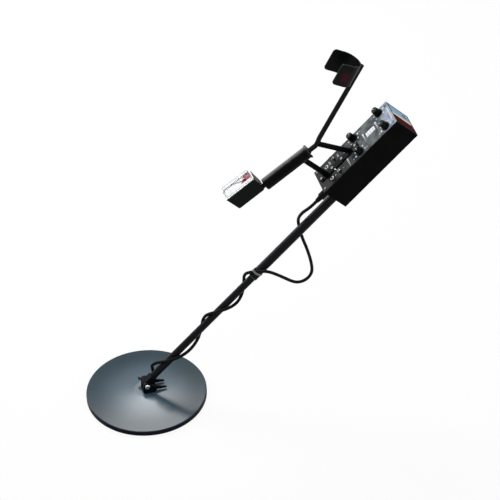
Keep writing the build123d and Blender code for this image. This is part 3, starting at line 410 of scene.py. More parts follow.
# light and floor, lamps and floor size in metres
stageSet = {
    "skyColour": (0.92, 0.96, 1.0, 1),
    "skyStrength": 0.25,
    "backdrop": (1, 1, 1, 1),
    "floorSize": 8.0,
    "floorDrop": 0.6,
    "floorColour": (0.85, 0.85, 0.85, 1),
    "floorRoughness": 0.9,
    "floorClear": 0.90,
    "lamps": (  # name, spot, target, size and power
        ("keyLamp", (-1.6, -1.8, 2.8), (0.2, 0, 0.3), 1.6, 22),
        ("rearLamp", (0.44, 1.80, 2.60), (0.0, 0, 0.02), 1.1, 54),
        ("leftLamp", (-1.9, 2.3, 1.8), (0.1, 0, 0.2), 1.2, 54),
        ("sideLamp", (2.6, -1.2, 1.6), (0.3, 0, 0.4), 1.4, 20),
    ),
}


def makeStage(settings):
    world = bpy.data.worlds.new("studio")
    scene.world = world
    world.use_nodes = True
    air = Tree(world.node_tree)
    sky = air.tree.nodes["Background"]
    air.join(sky.inputs["Color"], settings["skyColour"])
    air.join(sky.inputs["Strength"], settings["skyStrength"])
    white = air.add("ShaderNodeBackground", sockets={"Color": settings["backdrop"]})
    air.surface("World Output", air.seen(), Sock(air, sky.outputs[0]), white)

    bm = bmesh.new()
    bmesh.ops.create_grid(bm, x_segments=1, y_segments=1, size=settings["floorSize"])
    bmesh.ops.translate(bm, verts=bm.verts, vec=(0, 0, -settings["floorDrop"] / perMetre))
    floor = show(toMesh(bm, "floor"), "floor")
    pale = Finish("paleFloor", colour=settings["floorColour"], roughness=settings["floorRoughness"])
    # mostly clear, so that it takes the shadow and a lowered coil still shows; all clear from below
    clear = pale.add("ShaderNodeBsdfTransparent")
    under = pale.add("ShaderNodeNewGeometry", out="Backfacing")
    share = (pale.seen() * settings["floorClear"]).larger(under)
    pale.surface("Material Output", share, Sock(pale, pale.shader.outputs[0]), clear)
    floor.data.materials.append(pale.material)

    for name, spot, target, size, power in settings["lamps"]:
        data = bpy.data.lights.new(name, "AREA")
        data.shape = "DISK"
        data.size = size
        data.energy = power
        lamp = show(data, name)
        lamp.location = spot
        aim = Vector(target) - Vector(spot)
        lamp.rotation_euler = aim.to_track_quat("-Z", "Y").to_euler()
    scene.view_settings.view_transform = "Standard"


makeStage(stageSet)
print("stage lit")

# finishes
plasticSet = {
    "specular": 0.06,
    "speckDetail": 3,
    "cloud": (35, 4, 0.25, 0.75),
    "edge": 0.5,
    "wear": (260, 3, 0.4, 0.7),
    "wornTone": (1.9, 0.006),  # the light tone times the first, plus the second
    "gloss": (0.25, 0.75, -0.06, 0.08),  # added to the kind's own roughness
    "bump": (0.03, 0.8),
    "kinds": {  # tones, scale of the speck, roughness
        "blackPlastic": (((5, 5, 6), (10, 10, 11)), 1200, 0.44),
        "knobPlastic": (((4, 4, 4), (8, 8, 9)), 1500, 0.36),
        "yokePlastic": (((5, 7, 10), (11, 13, 17)), 900, 0.46),
        "chipPlastic": (((14, 14, 15), (24, 24, 26)), 2000, 0.5),
        "housingPlastic": (((4, 7, 6), (9, 12, 11)), 1300, 0.40),
    },
}


def mouldedPlastic(name, settings):
    tones, grain, rough = settings["kinds"][name]
    made = Finish(name, specular=settings["specular"])
    speck = made.noise(grain, settings["speckDetail"])
    rounded = made.softEdge(settings["edge"])
    body = made.cloudy(made.patches(*settings["cloud"]), tones)
    times, plus = settings["wornTone"]
    paler = [part * times + plus for part in tone(*tones[1])[:3]]
    worn = made.edgeShare(rounded) * made.patches(*settings["wear"])
    made.body = made.blend(worn, body, (*paler, 1.0))
    made.feed("colour", made.body)
    made.gloss(speck, *settings["gloss"], rough)
    made.relief(speck, *settings["bump"], rounded)
    return made


sheetSet = {
    "specular": 0.02,
    "peel": (1400, 2),
    "cloud": (22, 4, 0.25, 0.75),
    "edge": 0.6,
    "wear": (140, 4, 0.45, 0.7),
    "wornTone": (42, 43, 45),
    "gloss": (0.2, 0.8, -0.05, 0.07),
    "bump": (0.03, 0.7),
    "kinds": {  # tones, roughness
        "casePaint": (((4, 4, 4), (9, 9, 9)), 0.42),
        "postPaint": (((5, 5, 6), (11, 11, 12)), 0.36),
    },
}


def paintedSheet(name, settings):
    tones, rough = settings["kinds"][name]
    made = Finish(name, specular=settings["specular"])
    peel = made.noise(*settings["peel"])
    rounded = made.softEdge(settings["edge"])
    body = made.cloudy(made.patches(*settings["cloud"]), tones)
    worn = made.edgeShare(rounded) * made.patches(*settings["wear"])
    made.feed("colour", made.blend(worn, body, tone(*settings["wornTone"])))
    made.gloss(peel, *settings["gloss"], rough)
    made.relief(peel, *settings["bump"], rounded)
    return made


tubeSet = {
    "specular": 0.08,
    "streak": (1.0, 4),
    "streakScale": (18, 900, 900),
    "cloud": (30, 3, 0.25, 0.75),
    "scuff": (1.0, 5, 0.66, 0.74),
    "scuffScale": (60, 400, 400),
    "scuffShare": 0.35,
    "scuffTone": (48, 49, 52),
    "gloss": (0.3, 0.7, -0.06, 0.08),
    "bump": (0.01, 0.6),
    "kinds": {  # member, tones, roughness
        "shaftTube": (shaft, ((6, 7, 10), (12, 13, 17)), 0.36),
        "handleTube": (grip, ((6, 6, 7), (13, 13, 14)), 0.34),
    },
}


def drawnTube(name, settings):
    line, tones, rough = settings["kinds"][name]
    made = Finish(name, specular=settings["specular"])
    streak = made.noise(*settings["streak"], made.stretched(line, settings["streakScale"]))
    scuffs = made.patches(*settings["scuff"], made.stretched(line, settings["scuffScale"]))
    scuffs = scuffs * settings["scuffShare"]
    body = made.cloudy(made.patches(*settings["cloud"]), tones)
    made.feed("colour", made.blend(scuffs, body, tone(*settings["scuffTone"])))
    made.gloss(streak, *settings["gloss"], rough)
    made.relief(streak, *settings["bump"])
    return made


steelSet = {
    "haze": (400, 4),
    "cloud": (60, 3),
    "edge": 0.4,
    "gloss": (0.3, 0.7, 0.0, 0.16),
    "bump": (0.006, 0.6),
    "kinds": {  # tones, roughness
        "brightSteel": (((196, 198, 201), (226, 227, 229)), 0.16),
        "screwSteel": (((120, 121, 124), (164, 165, 168)), 0.24),
        "darkSteel": (((64, 65, 68), (94, 95, 98)), 0.30),
    },
}


def platedSteel(name, settings):
    tones, rough = settings["kinds"][name]
    made = Finish(name, metallic=1.0)
    haze = made.noise(*settings["haze"])
    made.feed("colour", made.cloudy(made.noise(*settings["cloud"]), tones))
    made.gloss(haze, *settings["gloss"], rough)
    made.relief(haze, *settings["bump"], made.softEdge(settings["edge"]))
    return made


coilShellSet = {
    "specular": 0.03,
    "coatRoughness": 0.23,
    "speck": (1100, 3),
    "cloud": (9, 4, 0.3, 0.7),
    "rim": (12.3, 11.0),  # heights from which and down to which the top turns into the rim
    "middle": (135, 30),  # distances from the axis over which the top is painted paler, painted light, and its lacquer grows thicker
    "edge": 1.2,
    "outerTones": ((14, 40, 52), (20, 47, 59)),
    "paintedLightTones": ((60, 82, 95), (68, 90, 103)),
    "rimTone": (9, 11, 24),
    "coat": (0.37, 0.24),  # at the outside, and what the middle has more
    "gloss": (0.25, 0.75, 0.36, 0.46),
    "bump": (0.004, 0.5),
}


def makeCoilShell(settings):
    # lacquer on the top, thicker towards the middle, none on the dark rim; the top is painted paler
    # towards the middle, painted light standing in for the shading of a rounder dome
    made = Finish("coilShell", specular=settings["specular"],
                  coatRoughness=settings["coatRoughness"])
    speck = made.noise(*settings["speck"])
    cloud = made.patches(*settings["cloud"])
    height = made.add("ShaderNodeSeparateXYZ", sockets={0: made.spot()}, out="Z") * perMetre
    side = made.span(height, *settings["rim"])
    middle = made.span(made.outward(), *settings["middle"])
    outer = made.cloudy(cloud, settings["outerTones"])
    # painted light: the paler tones towards the middle
    paintedLight = made.cloudy(cloud, settings["paintedLightTones"])
    top = made.blend(middle, outer, paintedLight)
    made.feed("colour", made.blend(side, top, tone(*settings["rimTone"])))
    thin, more = settings["coat"]
    made.feed("coat", (middle * more + thin) * (1 - side))
    made.gloss(speck, *settings["gloss"])
    made.relief(speck, *settings["bump"], made.softEdge(settings["edge"]))
    return made


coilBaseSet = {
    "specular": 0.4,
    "tones": ((30, 35, 42), (74, 80, 86)),
    "scuff": (1.0, 5, 0.6, 0.72),
    "scuffScale": (30, 300, 30),
    "scuffShare": 0.6,
    "gloss": (0, 1, 0.5, 0.72),
    "ringPitch": 0.42,
    "ringSpan": (-0.6, 0.6),
    "bump": (0.18, 0.8),
}


def makeCoilBase(settings):
    made = Finish("coilBase", specular=settings["specular"])
    scuffs = made.patches(*settings["scuff"], made.stretched(shaft, settings["scuffScale"]))
    rings = (made.outward() * settings["ringPitch"]).sine()
    made.feed("colour", made.cloudy(scuffs * settings["scuffShare"], settings["tones"]))
    made.gloss(scuffs, *settings["gloss"])
    made.relief(made.span(rings, *settings["ringSpan"]), *settings["bump"])
    return made


copperSet = {
    "tones": ((150, 72, 34), (196, 108, 62)),
    "cloud": (90, 3),
    "turnPitch": 9.0,
    "gloss": (-1, 1, 0.42, 0.26),
    "bump": (0.12, 0.9),
}


def makeCopper(settings):
    made = Finish("copperWire", metallic=1.0)
    turns = (made.outward() * settings["turnPitch"]).sine()
    made.feed("colour", made.cloudy(made.noise(*settings["cloud"]), settings["tones"]))
    made.gloss(turns, *settings["gloss"])
    made.relief(turns, *settings["bump"])
    return made


foamSet = {
    "specular": 0.04,
    "sheen": 0.2,
    "sheenRoughness": 0.3,
    "tones": ((5, 5, 6), (11, 11, 12)),
    "cloud": (60, 4),
    "cloudSpan": (0.3, 0.7),
    "paintedHighlight": (0.88, 0.47, 5),  # shares of above and across, and how far the border of the painted highlight wanders
    "paintedHighlightSpan": (8, 16.5),
    "paintedHighlightTone": (128, 128, 130),
    "pores": 1500,
    "poreSpan": (0.05, 0.45),
    "poreShadeTone": (3, 3, 4),
    "gloss": (0.1, 0.5, 0.80, 0.62),
    "bumpSpan": (0.0, 0.5),
    "bump": (0.22, 0.8),
}


def makeFoam(settings):
    made = Finish("gripFoam", specular=settings["specular"], sheen=settings["sheen"],
                  sheenRoughness=settings["sheenRoughness"])
    pores = made.cells(settings["pores"])
    cloud = made.noise(*settings["cloud"])
    body = made.cloudy(made.span(cloud, *settings["cloudSpan"]), settings["tones"])
    # painted highlight: the grip's upper side is painted pale grey, where light from above and
    # behind falls on it
    up, far, wander = settings["paintedHighlight"]
    paintedHighlight = made.along(grip, "above") * up + made.along(grip, "across") * far
    paintedHighlight = paintedHighlight + (cloud - noiseSet["middle"]) * wander
    body = made.blend(made.span(paintedHighlight, *settings["paintedHighlightSpan"]), body, tone(*settings["paintedHighlightTone"]))
    # the pores are painted darker: painted shade in their hollows
    walls = made.span(pores, *settings["poreSpan"])
    made.feed("colour", made.blend(walls, tone(*settings["poreShadeTone"]), body))
    made.gloss(pores, *settings["gloss"])
    made.relief(made.span(pores, *settings["bumpSpan"]), *settings["bump"])
    return made


panelPaintSet = {
    "specular": 0.07,
    "peel": (1500, 2),
    "cloud": (55, 4, 0.3, 0.7),
    "edge": 0.5,
    # painted shade and painted reflection: the panel is painted dark at the front and pale blue-grey
    # towards the rear
    "front": ((8, 9, 10), (24, 25, 27)),
    "middle": ((44, 48, 50), (104, 110, 113)),
    "rear": ((122, 132, 148), (168, 178, 194)),
    "middleFrom": (765, 835),  # along the shaft
    "rearFrom": (888, 914),
    "wornShare": 0.4,
    "wornTone": (90, 94, 98),
    "gloss": (0.2, 0.8, 0.36, 0.48),
    "bump": (0.02, 0.7),
}


def makePanelPaint(settings):
    made = Finish("panelPaint", specular=settings["specular"])
    peel = made.noise(*settings["peel"])
    along = made.along(shaft, "along")
    rounded = made.softEdge(settings["edge"])
    cloud = made.patches(*settings["cloud"])
    zones = ("front", "middle", "rear")
    # the zones are painted shade at the front and a painted reflection towards the rear
    front, middle, rear = [made.cloudy(cloud, settings[zone]) for zone in zones]
    body = made.blend(made.span(along, *settings["middleFrom"]), front, middle)
    body = made.blend(made.span(along, *settings["rearFrom"]), body, rear)
    worn = made.edgeShare(rounded) * settings["wornShare"]
    made.feed("colour", made.blend(worn, body, tone(*settings["wornTone"])))
    made.gloss(peel, *settings["gloss"])
    made.relief(peel, *settings["bump"], rounded)
    return made


rearSet = {
    "specular": 0.04,
    "peel": (1500, 2),
    "cloud": (50, 4),
    "clay": ((46, 10, 8), (64, 16, 12)),
    "cream": ((226, 196, 178), (236, 212, 196)),
    "pale": ((118, 156, 184), (146, 180, 204)),
    "night": ((10, 10, 11), (18, 18, 19)),
    "bands": (-4.0, 5.0),  # across, where cream and pale begin
    "field": (36.0, -12.0, 56.0),  # half its width, foot and top
    "gloss": (0.2, 0.8, 0.84, 0.94),
    "bump": (0.02, 0.6),
}


def makeRearPaint(settings):
    made = Finish("rearPaint", specular=settings["specular"])
    above = made.along(shaft, "above")
    across = made.along(shaft, "across")
    peel = made.noise(*settings["peel"])
    cloud = made.noise(*settings["cloud"])
    bands = ("clay", "cream", "pale", "night")
    clay, cream, pale, night = [made.cloudy(cloud, settings[band]) for band in bands]
    low, high = settings["bands"]
    body = made.blend(across > low, clay, cream)
    body = made.blend(across > high, body, pale)
    side, foot, top = settings["field"]
    inside = (abs(across) < side) * (above > foot) * (above < top)
    made.feed("colour", made.blend(inside, night, body))
    made.gloss(peel, *settings["gloss"])
    made.relief(peel, *settings["bump"])
    return made


cuffSet = {
    "specular": 0.06,
    "tones": ((6, 7, 7), (17, 19, 18)),
    "peel": (1300, 2),
    "cloud": (24, 4, 0.25, 0.75),
    "edge": 1.0,
    "wear": (150, 4, 0.35, 0.6),
    # the pale edge tone is wear and a painted highlight along the rims
    "wornTone": (92, 97, 96),
    "patch": (173.0, 198.0, 33.0, 51.0),  # from and to, along the arm and above it
    "patchFade": 7.0,
    "patchShare": 0.8,
    "patchTone": (62, 14, 22),
    "nearFace": -30.0,
    "gloss": (0.2, 0.8, 0.34, 0.47),
    "bump": (0.03, 0.7),
}


def makeCuffPaint(settings):
    made = Finish("cuffPaint", specular=settings["specular"])
    peel = made.noise(*settings["peel"])
    rounded = made.softEdge(settings["edge"])
    body = made.cloudy(made.patches(*settings["cloud"]), settings["tones"])
    low, high, foot, top = settings["patch"]
    patch = made.within(made.along(arm, "along"), low, high, settings["patchFade"])
    patch = patch * made.within(made.along(arm, "above"), foot, top, settings["patchFade"])
    patch = patch * (made.along(arm, "across") < settings["nearFace"])
    body = made.blend(patch * settings["patchShare"], body, tone(*settings["patchTone"]))
    # worn edges, made pale and wide enough to be a painted highlight along the rims too
    worn = made.edgeShare(rounded) * made.patches(*settings["wear"])
    made.feed("colour", made.blend(worn, body, tone(*settings["wornTone"])))
    made.gloss(peel, *settings["gloss"])
    made.relief(peel, *settings["bump"], rounded)
    return made


dialSet = {
    "specular": 0.35,
    "fibre": (420, 4),
    "paper": ((246, 247, 247), (254, 254, 254)),
    "red": ((146, 12, 48), (164, 22, 60)),
    "redBlock": (-92.0, -64.0, -4.0, 17.0),  # from and to, along the grip and across it
    "redSlant": -0.6,
    "gloss": (0.2, 0.8, 0.5, 0.62),
}


def makeDialPaint(settings):
    made = Finish("dialPaint", specular=settings["specular"])
    along = made.along(grip, "along")
    across = made.along(grip, "across")
    fibre = made.noise(*settings["fibre"])
    paper = made.cloudy(fibre, settings["paper"])
    red = made.cloudy(fibre, settings["red"])
    low, high, near, far = settings["redBlock"]
    slant = along + across * settings["redSlant"]
    block = (slant > low) * (along < high) * (across > near) * (across < far)
    made.feed("colour", made.blend(block, paper, red))
    made.gloss(fibre, *settings["gloss"])
    return made


housingSet = {
    "well": (-102.8, 41.25, 18.5, 48.2),  # middle and half length along, half width, foot
    "wellTone": (226, 228, 229),
}


def makeHousing(settings):
    # black outside, white on the lip inside that frames the dial
    made = mouldedPlastic("housingPlastic", plasticSet)
    middle, reach, side, foot = settings["well"]
    well = (abs(made.along(grip, "along") - middle) < reach) * (made.along(grip, "above") > foot)
    well = well * (abs(made.along(grip, "across")) < side)
    made.feed("colour", made.blend(well, made.body, tone(*settings["wellTone"])))
    return made


coverSet = {
    "specular": 0.5,
    "tones": ((150, 155, 158), (236, 238, 239)),  # of the raised part and of the flange
    "haze": (90, 4),
    "hazeShare": 0.02,
    "facing": 0.35,
    "density": (0.15, 0.8, 0.04, 0.46),  # a span of the slant, and the alpha at its ends
    "flangeTop": 51.55,
    "flangeAlpha": 0.94,
    "gloss": (0.3, 0.7, 0.06, 0.16),
}


def makeClearCover(settings):
    made = Finish("clearCover", specular=settings["specular"])
    slant = made.add("ShaderNodeLayerWeight", sockets={"Blend": settings["facing"]}, out="Facing")
    haze = made.noise(*settings["haze"])
    flange = made.along(grip, "above") < settings["flangeTop"]
    clear = made.span(slant, *settings["density"]) + haze * settings["hazeShare"]
    made.feed("colour", made.cloudy(flange, settings["tones"]))
    made.feed("alpha", clear + flange * (settings["flangeAlpha"] - clear))
    made.gloss(haze, *settings["gloss"])
    return made


nylonSet = {
    "specular": 0.45,
    "grain": (700, 3),
    "cloud": (80, 3),
    "edge": 0.3,
    "gloss": (0.25, 0.75, 0.42, 0.56),
    "bump": (0.02, 0.7),
    "kinds": {
        "paleNylon": ((176, 178, 181), (204, 206, 208)),
        "tieNylon": ((92, 94, 98), (120, 122, 126)),
        "darkNylon": ((14, 14, 15), (24, 24, 26)),
    },
}


def makeNylon(name, settings):
    made = Finish(name, specular=settings["specular"])
    grain = made.noise(*settings["grain"])
    made.feed("colour", made.cloudy(made.noise(*settings["cloud"]), settings["kinds"][name]))
    made.gloss(grain, *settings["gloss"])
    made.relief(grain, *settings["bump"], made.softEdge(settings["edge"]))
    return made


boardSet = {
    "specular": 0.5,
    "tones": ((12, 62, 40), (22, 84, 54)),
    "weave": (1.0, 2),
    "weaveScale": (1500, 300, 300),
    "pads": 160,
    "padSpan": (0.22, 0.16),
    "padTone": (176, 162, 112),
    "padMetal": 0.8,
    "gloss": (0.2, 0.8, 0.36, 0.5),
}


def makeBoard(settings):
    made = Finish("boardGreen", specular=settings["specular"])
    weave = made.noise(*settings["weave"], made.stretched(shaft, settings["weaveScale"]))
    pads = made.span(made.cells(settings["pads"]), *settings["padSpan"])
    body = made.cloudy(weave, settings["tones"])
    made.feed("colour", made.blend(pads, body, tone(*settings["padTone"])))
    made.feed("metallic", pads * settings["padMetal"])
    made.gloss(weave, *settings["gloss"])
    return made


cellSet = {
    "specular": 0.5,
    "coat": 0.3,
    "tones": ((28, 52, 92), (40, 66, 108)),
    "cloud": (120, 3),
    "bandFrom": 21.0,
    "bandTone": (196, 168, 92),
    "gloss": (0.3, 0.7, 0.25, 0.38),
}


def makeCellSleeve(settings):
    made = Finish("cellSleeve", specular=settings["specular"], coat=settings["coat"])
    cloud = made.noise(*settings["cloud"])
    band = abs(made.along(shaft, "across")) > settings["bandFrom"]
    body = made.cloudy(cloud, settings["tones"])
    made.feed("colour", made.blend(band, body, tone(*settings["bandTone"])))
    made.gloss(cloud, *settings["gloss"])
    return made


lampSet = {
    "specular": 0.5,
    "glow": 0.1,
    "nearTones": ((96, 12, 12), (128, 22, 20)),
    "farTones": ((20, 66, 26), (32, 90, 38)),
    "cloud": (500, 3),
    "gloss": (0.3, 0.7, 0.12, 0.22),
}


def makeLamps(settings):
    made = Finish("lampLens", specular=settings["specular"], glowStrength=settings["glow"])
    cloud = made.noise(*settings["cloud"])
    near = made.cloudy(cloud, settings["nearTones"])
    far = made.cloudy(cloud, settings["farTones"])
    lens = made.blend(made.along(shaft, "across") > 0, near, far)
    made.feed("colour", lens)
    made.feed("glow", lens)
    made.gloss(cloud, *settings["gloss"])
    return made


printSet = {
    "specular": 0.3,
    "fleck": (2600, 2),
    "gloss": (0.2, 0.8, 0.5, 0.7),
    "kinds": {
        "printWhite": ((214, 218, 222), (240, 242, 244)),
        "printDark": ((16, 16, 18), (30, 30, 32)),
        "printPale": ((132, 140, 150), (156, 164, 174)),
    },
}


def makePrint(name, settings):
    made = Finish(name, specular=settings["specular"])
    fleck = made.noise(*settings["fleck"])
    made.feed("colour", made.cloudy(fleck, settings["kinds"][name]))
    made.gloss(fleck, *settings["gloss"])
    return made


finishes = (
    (makeCoilShell(coilShellSet), ("coil_top_shell",)),
    (makeCoilBase(coilBaseSet), ("coil_bottom_plate",)),
    (makeCopper(copperSet), ("transmit_winding", "receive_winding")),
    (mouldedPlastic("yokePlastic", plasticSet),
     ("coil_yoke", "shaft_tip", "wing_nut", "cable_gland")),
    (mouldedPlastic("blackPlastic", plasticSet),
     ("handle_end_cap", "lock_collet", "coil_plug", "battery_holder", "speaker", "meter_movement")),
    (mouldedPlastic("knobPlastic", plasticSet), ("knob_1", "knob_2", "knob_3", "knob_4")),
    (makeHousing(housingSet), ("meter_housing",)),
    (mouldedPlastic("chipPlastic", plasticSet), ("board_parts", "meter_needle")),
    (paintedSheet("casePaint", sheetSet), ("case_body", "front_plate")),
    (paintedSheet("postPaint", sheetSet), ("handle_posts", "meter_straps")),
    (drawnTube("shaftTube", tubeSet), ("lower_tube", "upper_tube")),
    (drawnTube("handleTube", tubeSet), ("handle_tube",)),
    (makePanelPaint(panelPaintSet), ("control_panel",)),
    (makeRearPaint(rearSet), ("rear_plate",)),
    (makeCuffPaint(cuffSet), ("arm_cuff",)),
    (platedSteel("brightSteel", steelSet), ("pivot_bolt", "power_lever", "mode_lever")),
    (platedSteel("screwSteel", steelSet), ("meter_screws", "switch_bodies", "headphone_socket")),
    (platedSteel("darkSteel", steelSet),
     ("yoke_screws", "panel_screws", "strap_screws", "cuff_rivets", "potentiometers",
      "coil_socket")),
    (makeNylon("tieNylon", nylonSet), ("cable_tie",)),
    (makeNylon("paleNylon", nylonSet), ("board_spacers",)),
    (makeNylon("darkNylon", nylonSet),
     ("friction_washers", "tube_bush", "tube_saddles", "lock_plug", "panel_blocks")),
    (makeBoard(boardSet), ("circuit_board",)),
    (makeCellSleeve(cellSet), ("battery_cells",)),
    (makeLamps(lampSet), ("indicator_lamps",)),
    (makeDialPaint(dialSet), ("meter_dial",)),
    (makeClearCover(coverSet), ("meter_cover",)),
)
for finish, names in finishes:
    for name in names:
        data = nodes[name].data
        data.materials.clear()
        data.materials.append(finish.material)
gripFoam = makeFoam(foamSet)
printWhite = makePrint("printWhite", printSet)
printDark = makePrint("printDark", printSet)
printPale = makePrint("printPale", printSet)
print("finishes on CAD nodes:", sum(len(names) for finish, names in finishes))

# pieces made here
pieceSet = {
    "merge": 1e-7,  # metres
    "smoothAngle": 0.6,  # radians
    "blockSegments": 2,
    "discSides": 20,
    "letterDepth": 0.08,
}


def finishPiece(bm, name, finish, body):
    bmesh.ops.remove_doubles(bm, verts=bm.verts, dist=pieceSet["merge"])
    bmesh.ops.recalc_face_normals(bm, faces=bm.faces)
    mesh = toMesh(bm, name)
    mesh.materials.append(finish.material)
    mesh.shade_smooth()
    mesh.set_sharp_from_angle(angle=pieceSet["smoothAngle"])
    piece = show(mesh, name)
    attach(piece, body)
    return piece


def addBlock(bm, size, place, edge=0.0):
    scale = Matrix.Diagonal((*[part / perMetre for part in size], 1))
    verts = bmesh.ops.create_cube(bm, size=1, matrix=scale)["verts"]
    if edge:
        edges = list({line for vert in verts for line in vert.link_edges})
        made = bmesh.ops.bevel(bm, geom=edges, offset=edge / perMetre, profile=0.5, material=-1,
                               segments=pieceSet["blockSegments"], affect="EDGES")
        # the bevel may leave some of the block's corners out, so they are found along its edges
        seed = made["verts"]
        verts = set(seed)
        while seed:
            ends = [end for vert in seed for line in vert.link_edges for end in line.verts]
            seed = [end for end in ends if end not in verts]
            verts.update(seed)
    bmesh.ops.transform(bm, matrix=place, verts=list(verts))


def addDisc(bm, diameter, height, place):
    radius = diameter / 2 / perMetre
    bmesh.ops.create_cone(bm, cap_ends=True, segments=pieceSet["discSides"], radius1=radius,
                          radius2=radius, depth=height / perMetre, matrix=place)


def addText(bm, words, size, place):
    letters = bpy.data.curves.new("letters", "FONT")
    letters.body = words
    letters.size = size / perMetre
    letters.extrude = pieceSet["letterDepth"] / 2 / perMetre
    letters.align_x = "CENTER"
    letters.align_y = "CENTER"
    piece = show(letters, "letters")
    mesh = evaluated(piece)
    bpy.data.objects.remove(piece)
    mesh.transform(place)
    bm.from_mesh(mesh)
    bpy.data.meshes.remove(mesh)


def turnAbout(degrees):
    return Matrix.Rotation(math.radians(degrees), 4, "Z")


def moved(reach):
    return Matrix.Translation((reach / perMetre, 0, 0))


gripSet = {
    "front": -56.0,
    "rear": 76.0,
    "radius": 15.5,
    "flangeRadius": 18.0,
    "flange": 4.0,
    "bore": 6.1,
    "boreClear": 1.0,
    "slotStart": 42.95,
    "slotWidth": 14.5,
    "slotTop": 6.0,
    "round": 1.5,
    "roundSegments": 3,
    "rimAngle": 1.0,  # radians
    "steps": 64,
}


def makeGrip(settings):
    front, rear, bore = settings["front"], settings["rear"], settings["bore"]
    radius, flangeRadius = settings["radius"], settings["flangeRadius"]
    flangeFoot = rear - settings["flange"]
    outline = (
        (front, bore), (front, radius), (flangeFoot, radius),
        (flangeFoot, flangeRadius), (rear, flangeRadius), (rear, bore),
    )
    bm = bmesh.new()
    verts = [bm.verts.new((along / perMetre, 0, out / perMetre)) for along, out in outline]
    edges = [bm.edges.new(pair) for pair in zip(verts, verts[1:] + verts[:1])]
    bmesh.ops.spin(bm, geom=verts + edges, axis=(1, 0, 0), cent=(0, 0, 0), dvec=(0, 0, 0),
                   angle=2 * math.pi, steps=settings["steps"], use_merge=True)
    bmesh.ops.remove_doubles(bm, verts=bm.verts, dist=tiny)
    bmesh.ops.recalc_face_normals(bm, faces=bm.faces)
    # the rims outside the bore are rounded
    inside = (bore + settings["boreClear"]) / perMetre
    rims = []
    for edge in bm.edges:
        start, end = [vert.co for vert in edge.verts]
        sharp = edge.calc_face_angle(0) > settings["rimAngle"]
        outside = min(start.yz.length, end.yz.length) > inside
        if sharp and outside and abs(start.x - end.x) < tiny:
            rims.append(edge)
    bmesh.ops.bevel(bm, geom=rims, offset=settings["round"] / perMetre, profile=0.5, material=-1,
                    segments=settings["roundSegments"], affect="EDGES")
    blank = show(toMesh(bm, "gripBlank"), "gripBlank")
    # a slot from below, open at the rear
    bm = bmesh.new()
    reach = 2 * (rear - settings["slotStart"])
    deep = 2 * flangeRadius
    middle = Vector((rear, 0, settings["slotTop"] - deep / 2)) / perMetre
    addBlock(bm, (reach, settings["slotWidth"], deep), Matrix.Translation(middle))
    slot = show(toMesh(bm, "gripSlot"), "gripSlot")
    cut = blank.modifiers.new("slot", "BOOLEAN")
    cut.object = slot
    cut.operation = "DIFFERENCE"
    cut.solver = "EXACT"
    bm = bmesh.new()
    bm.from_mesh(evaluated(blank))
    bpy.data.objects.remove(blank)
    bpy.data.objects.remove(slot)
    bmesh.ops.transform(bm, matrix=grip.place(), verts=bm.verts)
    piece = finishPiece(bm, "gripSleeve", gripFoam, "frame")
    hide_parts("grip_sleeve")


makeGrip(gripSet)
print("grip made")

# places on the panel are along the shaft and across it
panelSet = {
    "top": 62.2,
    "printLift": 0.06,
    "printDepth": 0.1,
    "knobs": {  # place, and where the pointer points
        "knob_1": (821.0, 26.5, 40.0), "knob_2": (821.0, -26.5, -75.0),
        "knob_3": (908.0, 26.5, 105.0), "knob_4": (908.0, -26.5, 150.0),
    },
    "knobTop": 80.5,
    "pointer": (6.6, 1.1, 0.3),
    "pointerReach": 3.6,
    "pointerEdge": 0.1,
    "scaleStart": 30,
    "scaleSweep": 300,
    "dots": 7,
    "dotSize": (2.6, 5.6),  # the scale's dots grow from the first to the last
    "dotRadius": 15.6,
    "dotReach": 39.8,
    "figures": {1: "1", 3: "5", 5: "9"},  # by the dot that they stand at
    "figureRadius": 22.6,
    "figureSize": 6.4,
    "strapEnd": (828.0, 12.0),  # no figures under the foot strap
    "labels": (("ON", 765.5, 24.0), ("OFF", 738.0, 24.0), ("1", 765.5, -24.0), ("2", 738.0, -24.0)),
    "labelSize": 6.4,
    "rings": ((726.0, 22.0), (726.0, -22.0)),  # round the lamps
    "ringSize": 10.5,
    "wedges": ((783.0, 24.5), (783.0, -24.5), (846.5, 0.0), (888.5, 0.0)),
    "wedgeSquares": 5,
    "wedgeSize": (1.6, 4.8),  # the squares grow across the panel
    "wedgeGap": 5.6,
    "marks": [(931.5, 6.0 * step) for step in range(-3, 4)],
    "mark": (4.0, 3.0),
    "plate": (868.0, 0.0),
    "plateSize": (28.0, 14.0, 0.3),
    "plateEdge": 0.1,
    "barShares": (0.75, 0.5, 0.62),  # of the plate's width
    "barWidth": 1.2,
    "barPitch": 8,
    "barLift": 0.33,
}


def addScale(bm, settings, along, across, level):
    # dots that grow round a knob, with a few figures; the open part faces the panel's edge
    last = settings["dots"] - 1
    smallest, largest = settings["dotSize"]
    strapEnd, strapSide = settings["strapEnd"]
    start = settings["scaleStart"] + math.copysign(quarterTurn, across)
    for step in range(settings["dots"]):
        turn = math.radians(start + settings["scaleSweep"] * step / last)
        size = smallest + (largest - smallest) * step / last
        spot = along + settings["dotRadius"] * math.cos(turn)
        side = across + settings["dotRadius"] * math.sin(turn)
        if abs(side) + size / 2 < settings["dotReach"]:
            addDisc(bm, size, settings["printDepth"], shaft.place(spot, side, level))
        spot = along + settings["figureRadius"] * math.cos(turn)
        side = across + settings["figureRadius"] * math.sin(turn)
        if step in settings["figures"] and (spot > strapEnd or abs(side) > strapSide):
            words = settings["figures"][step]
            addText(bm, words, settings["figureSize"], shaft.page(spot, side, level))


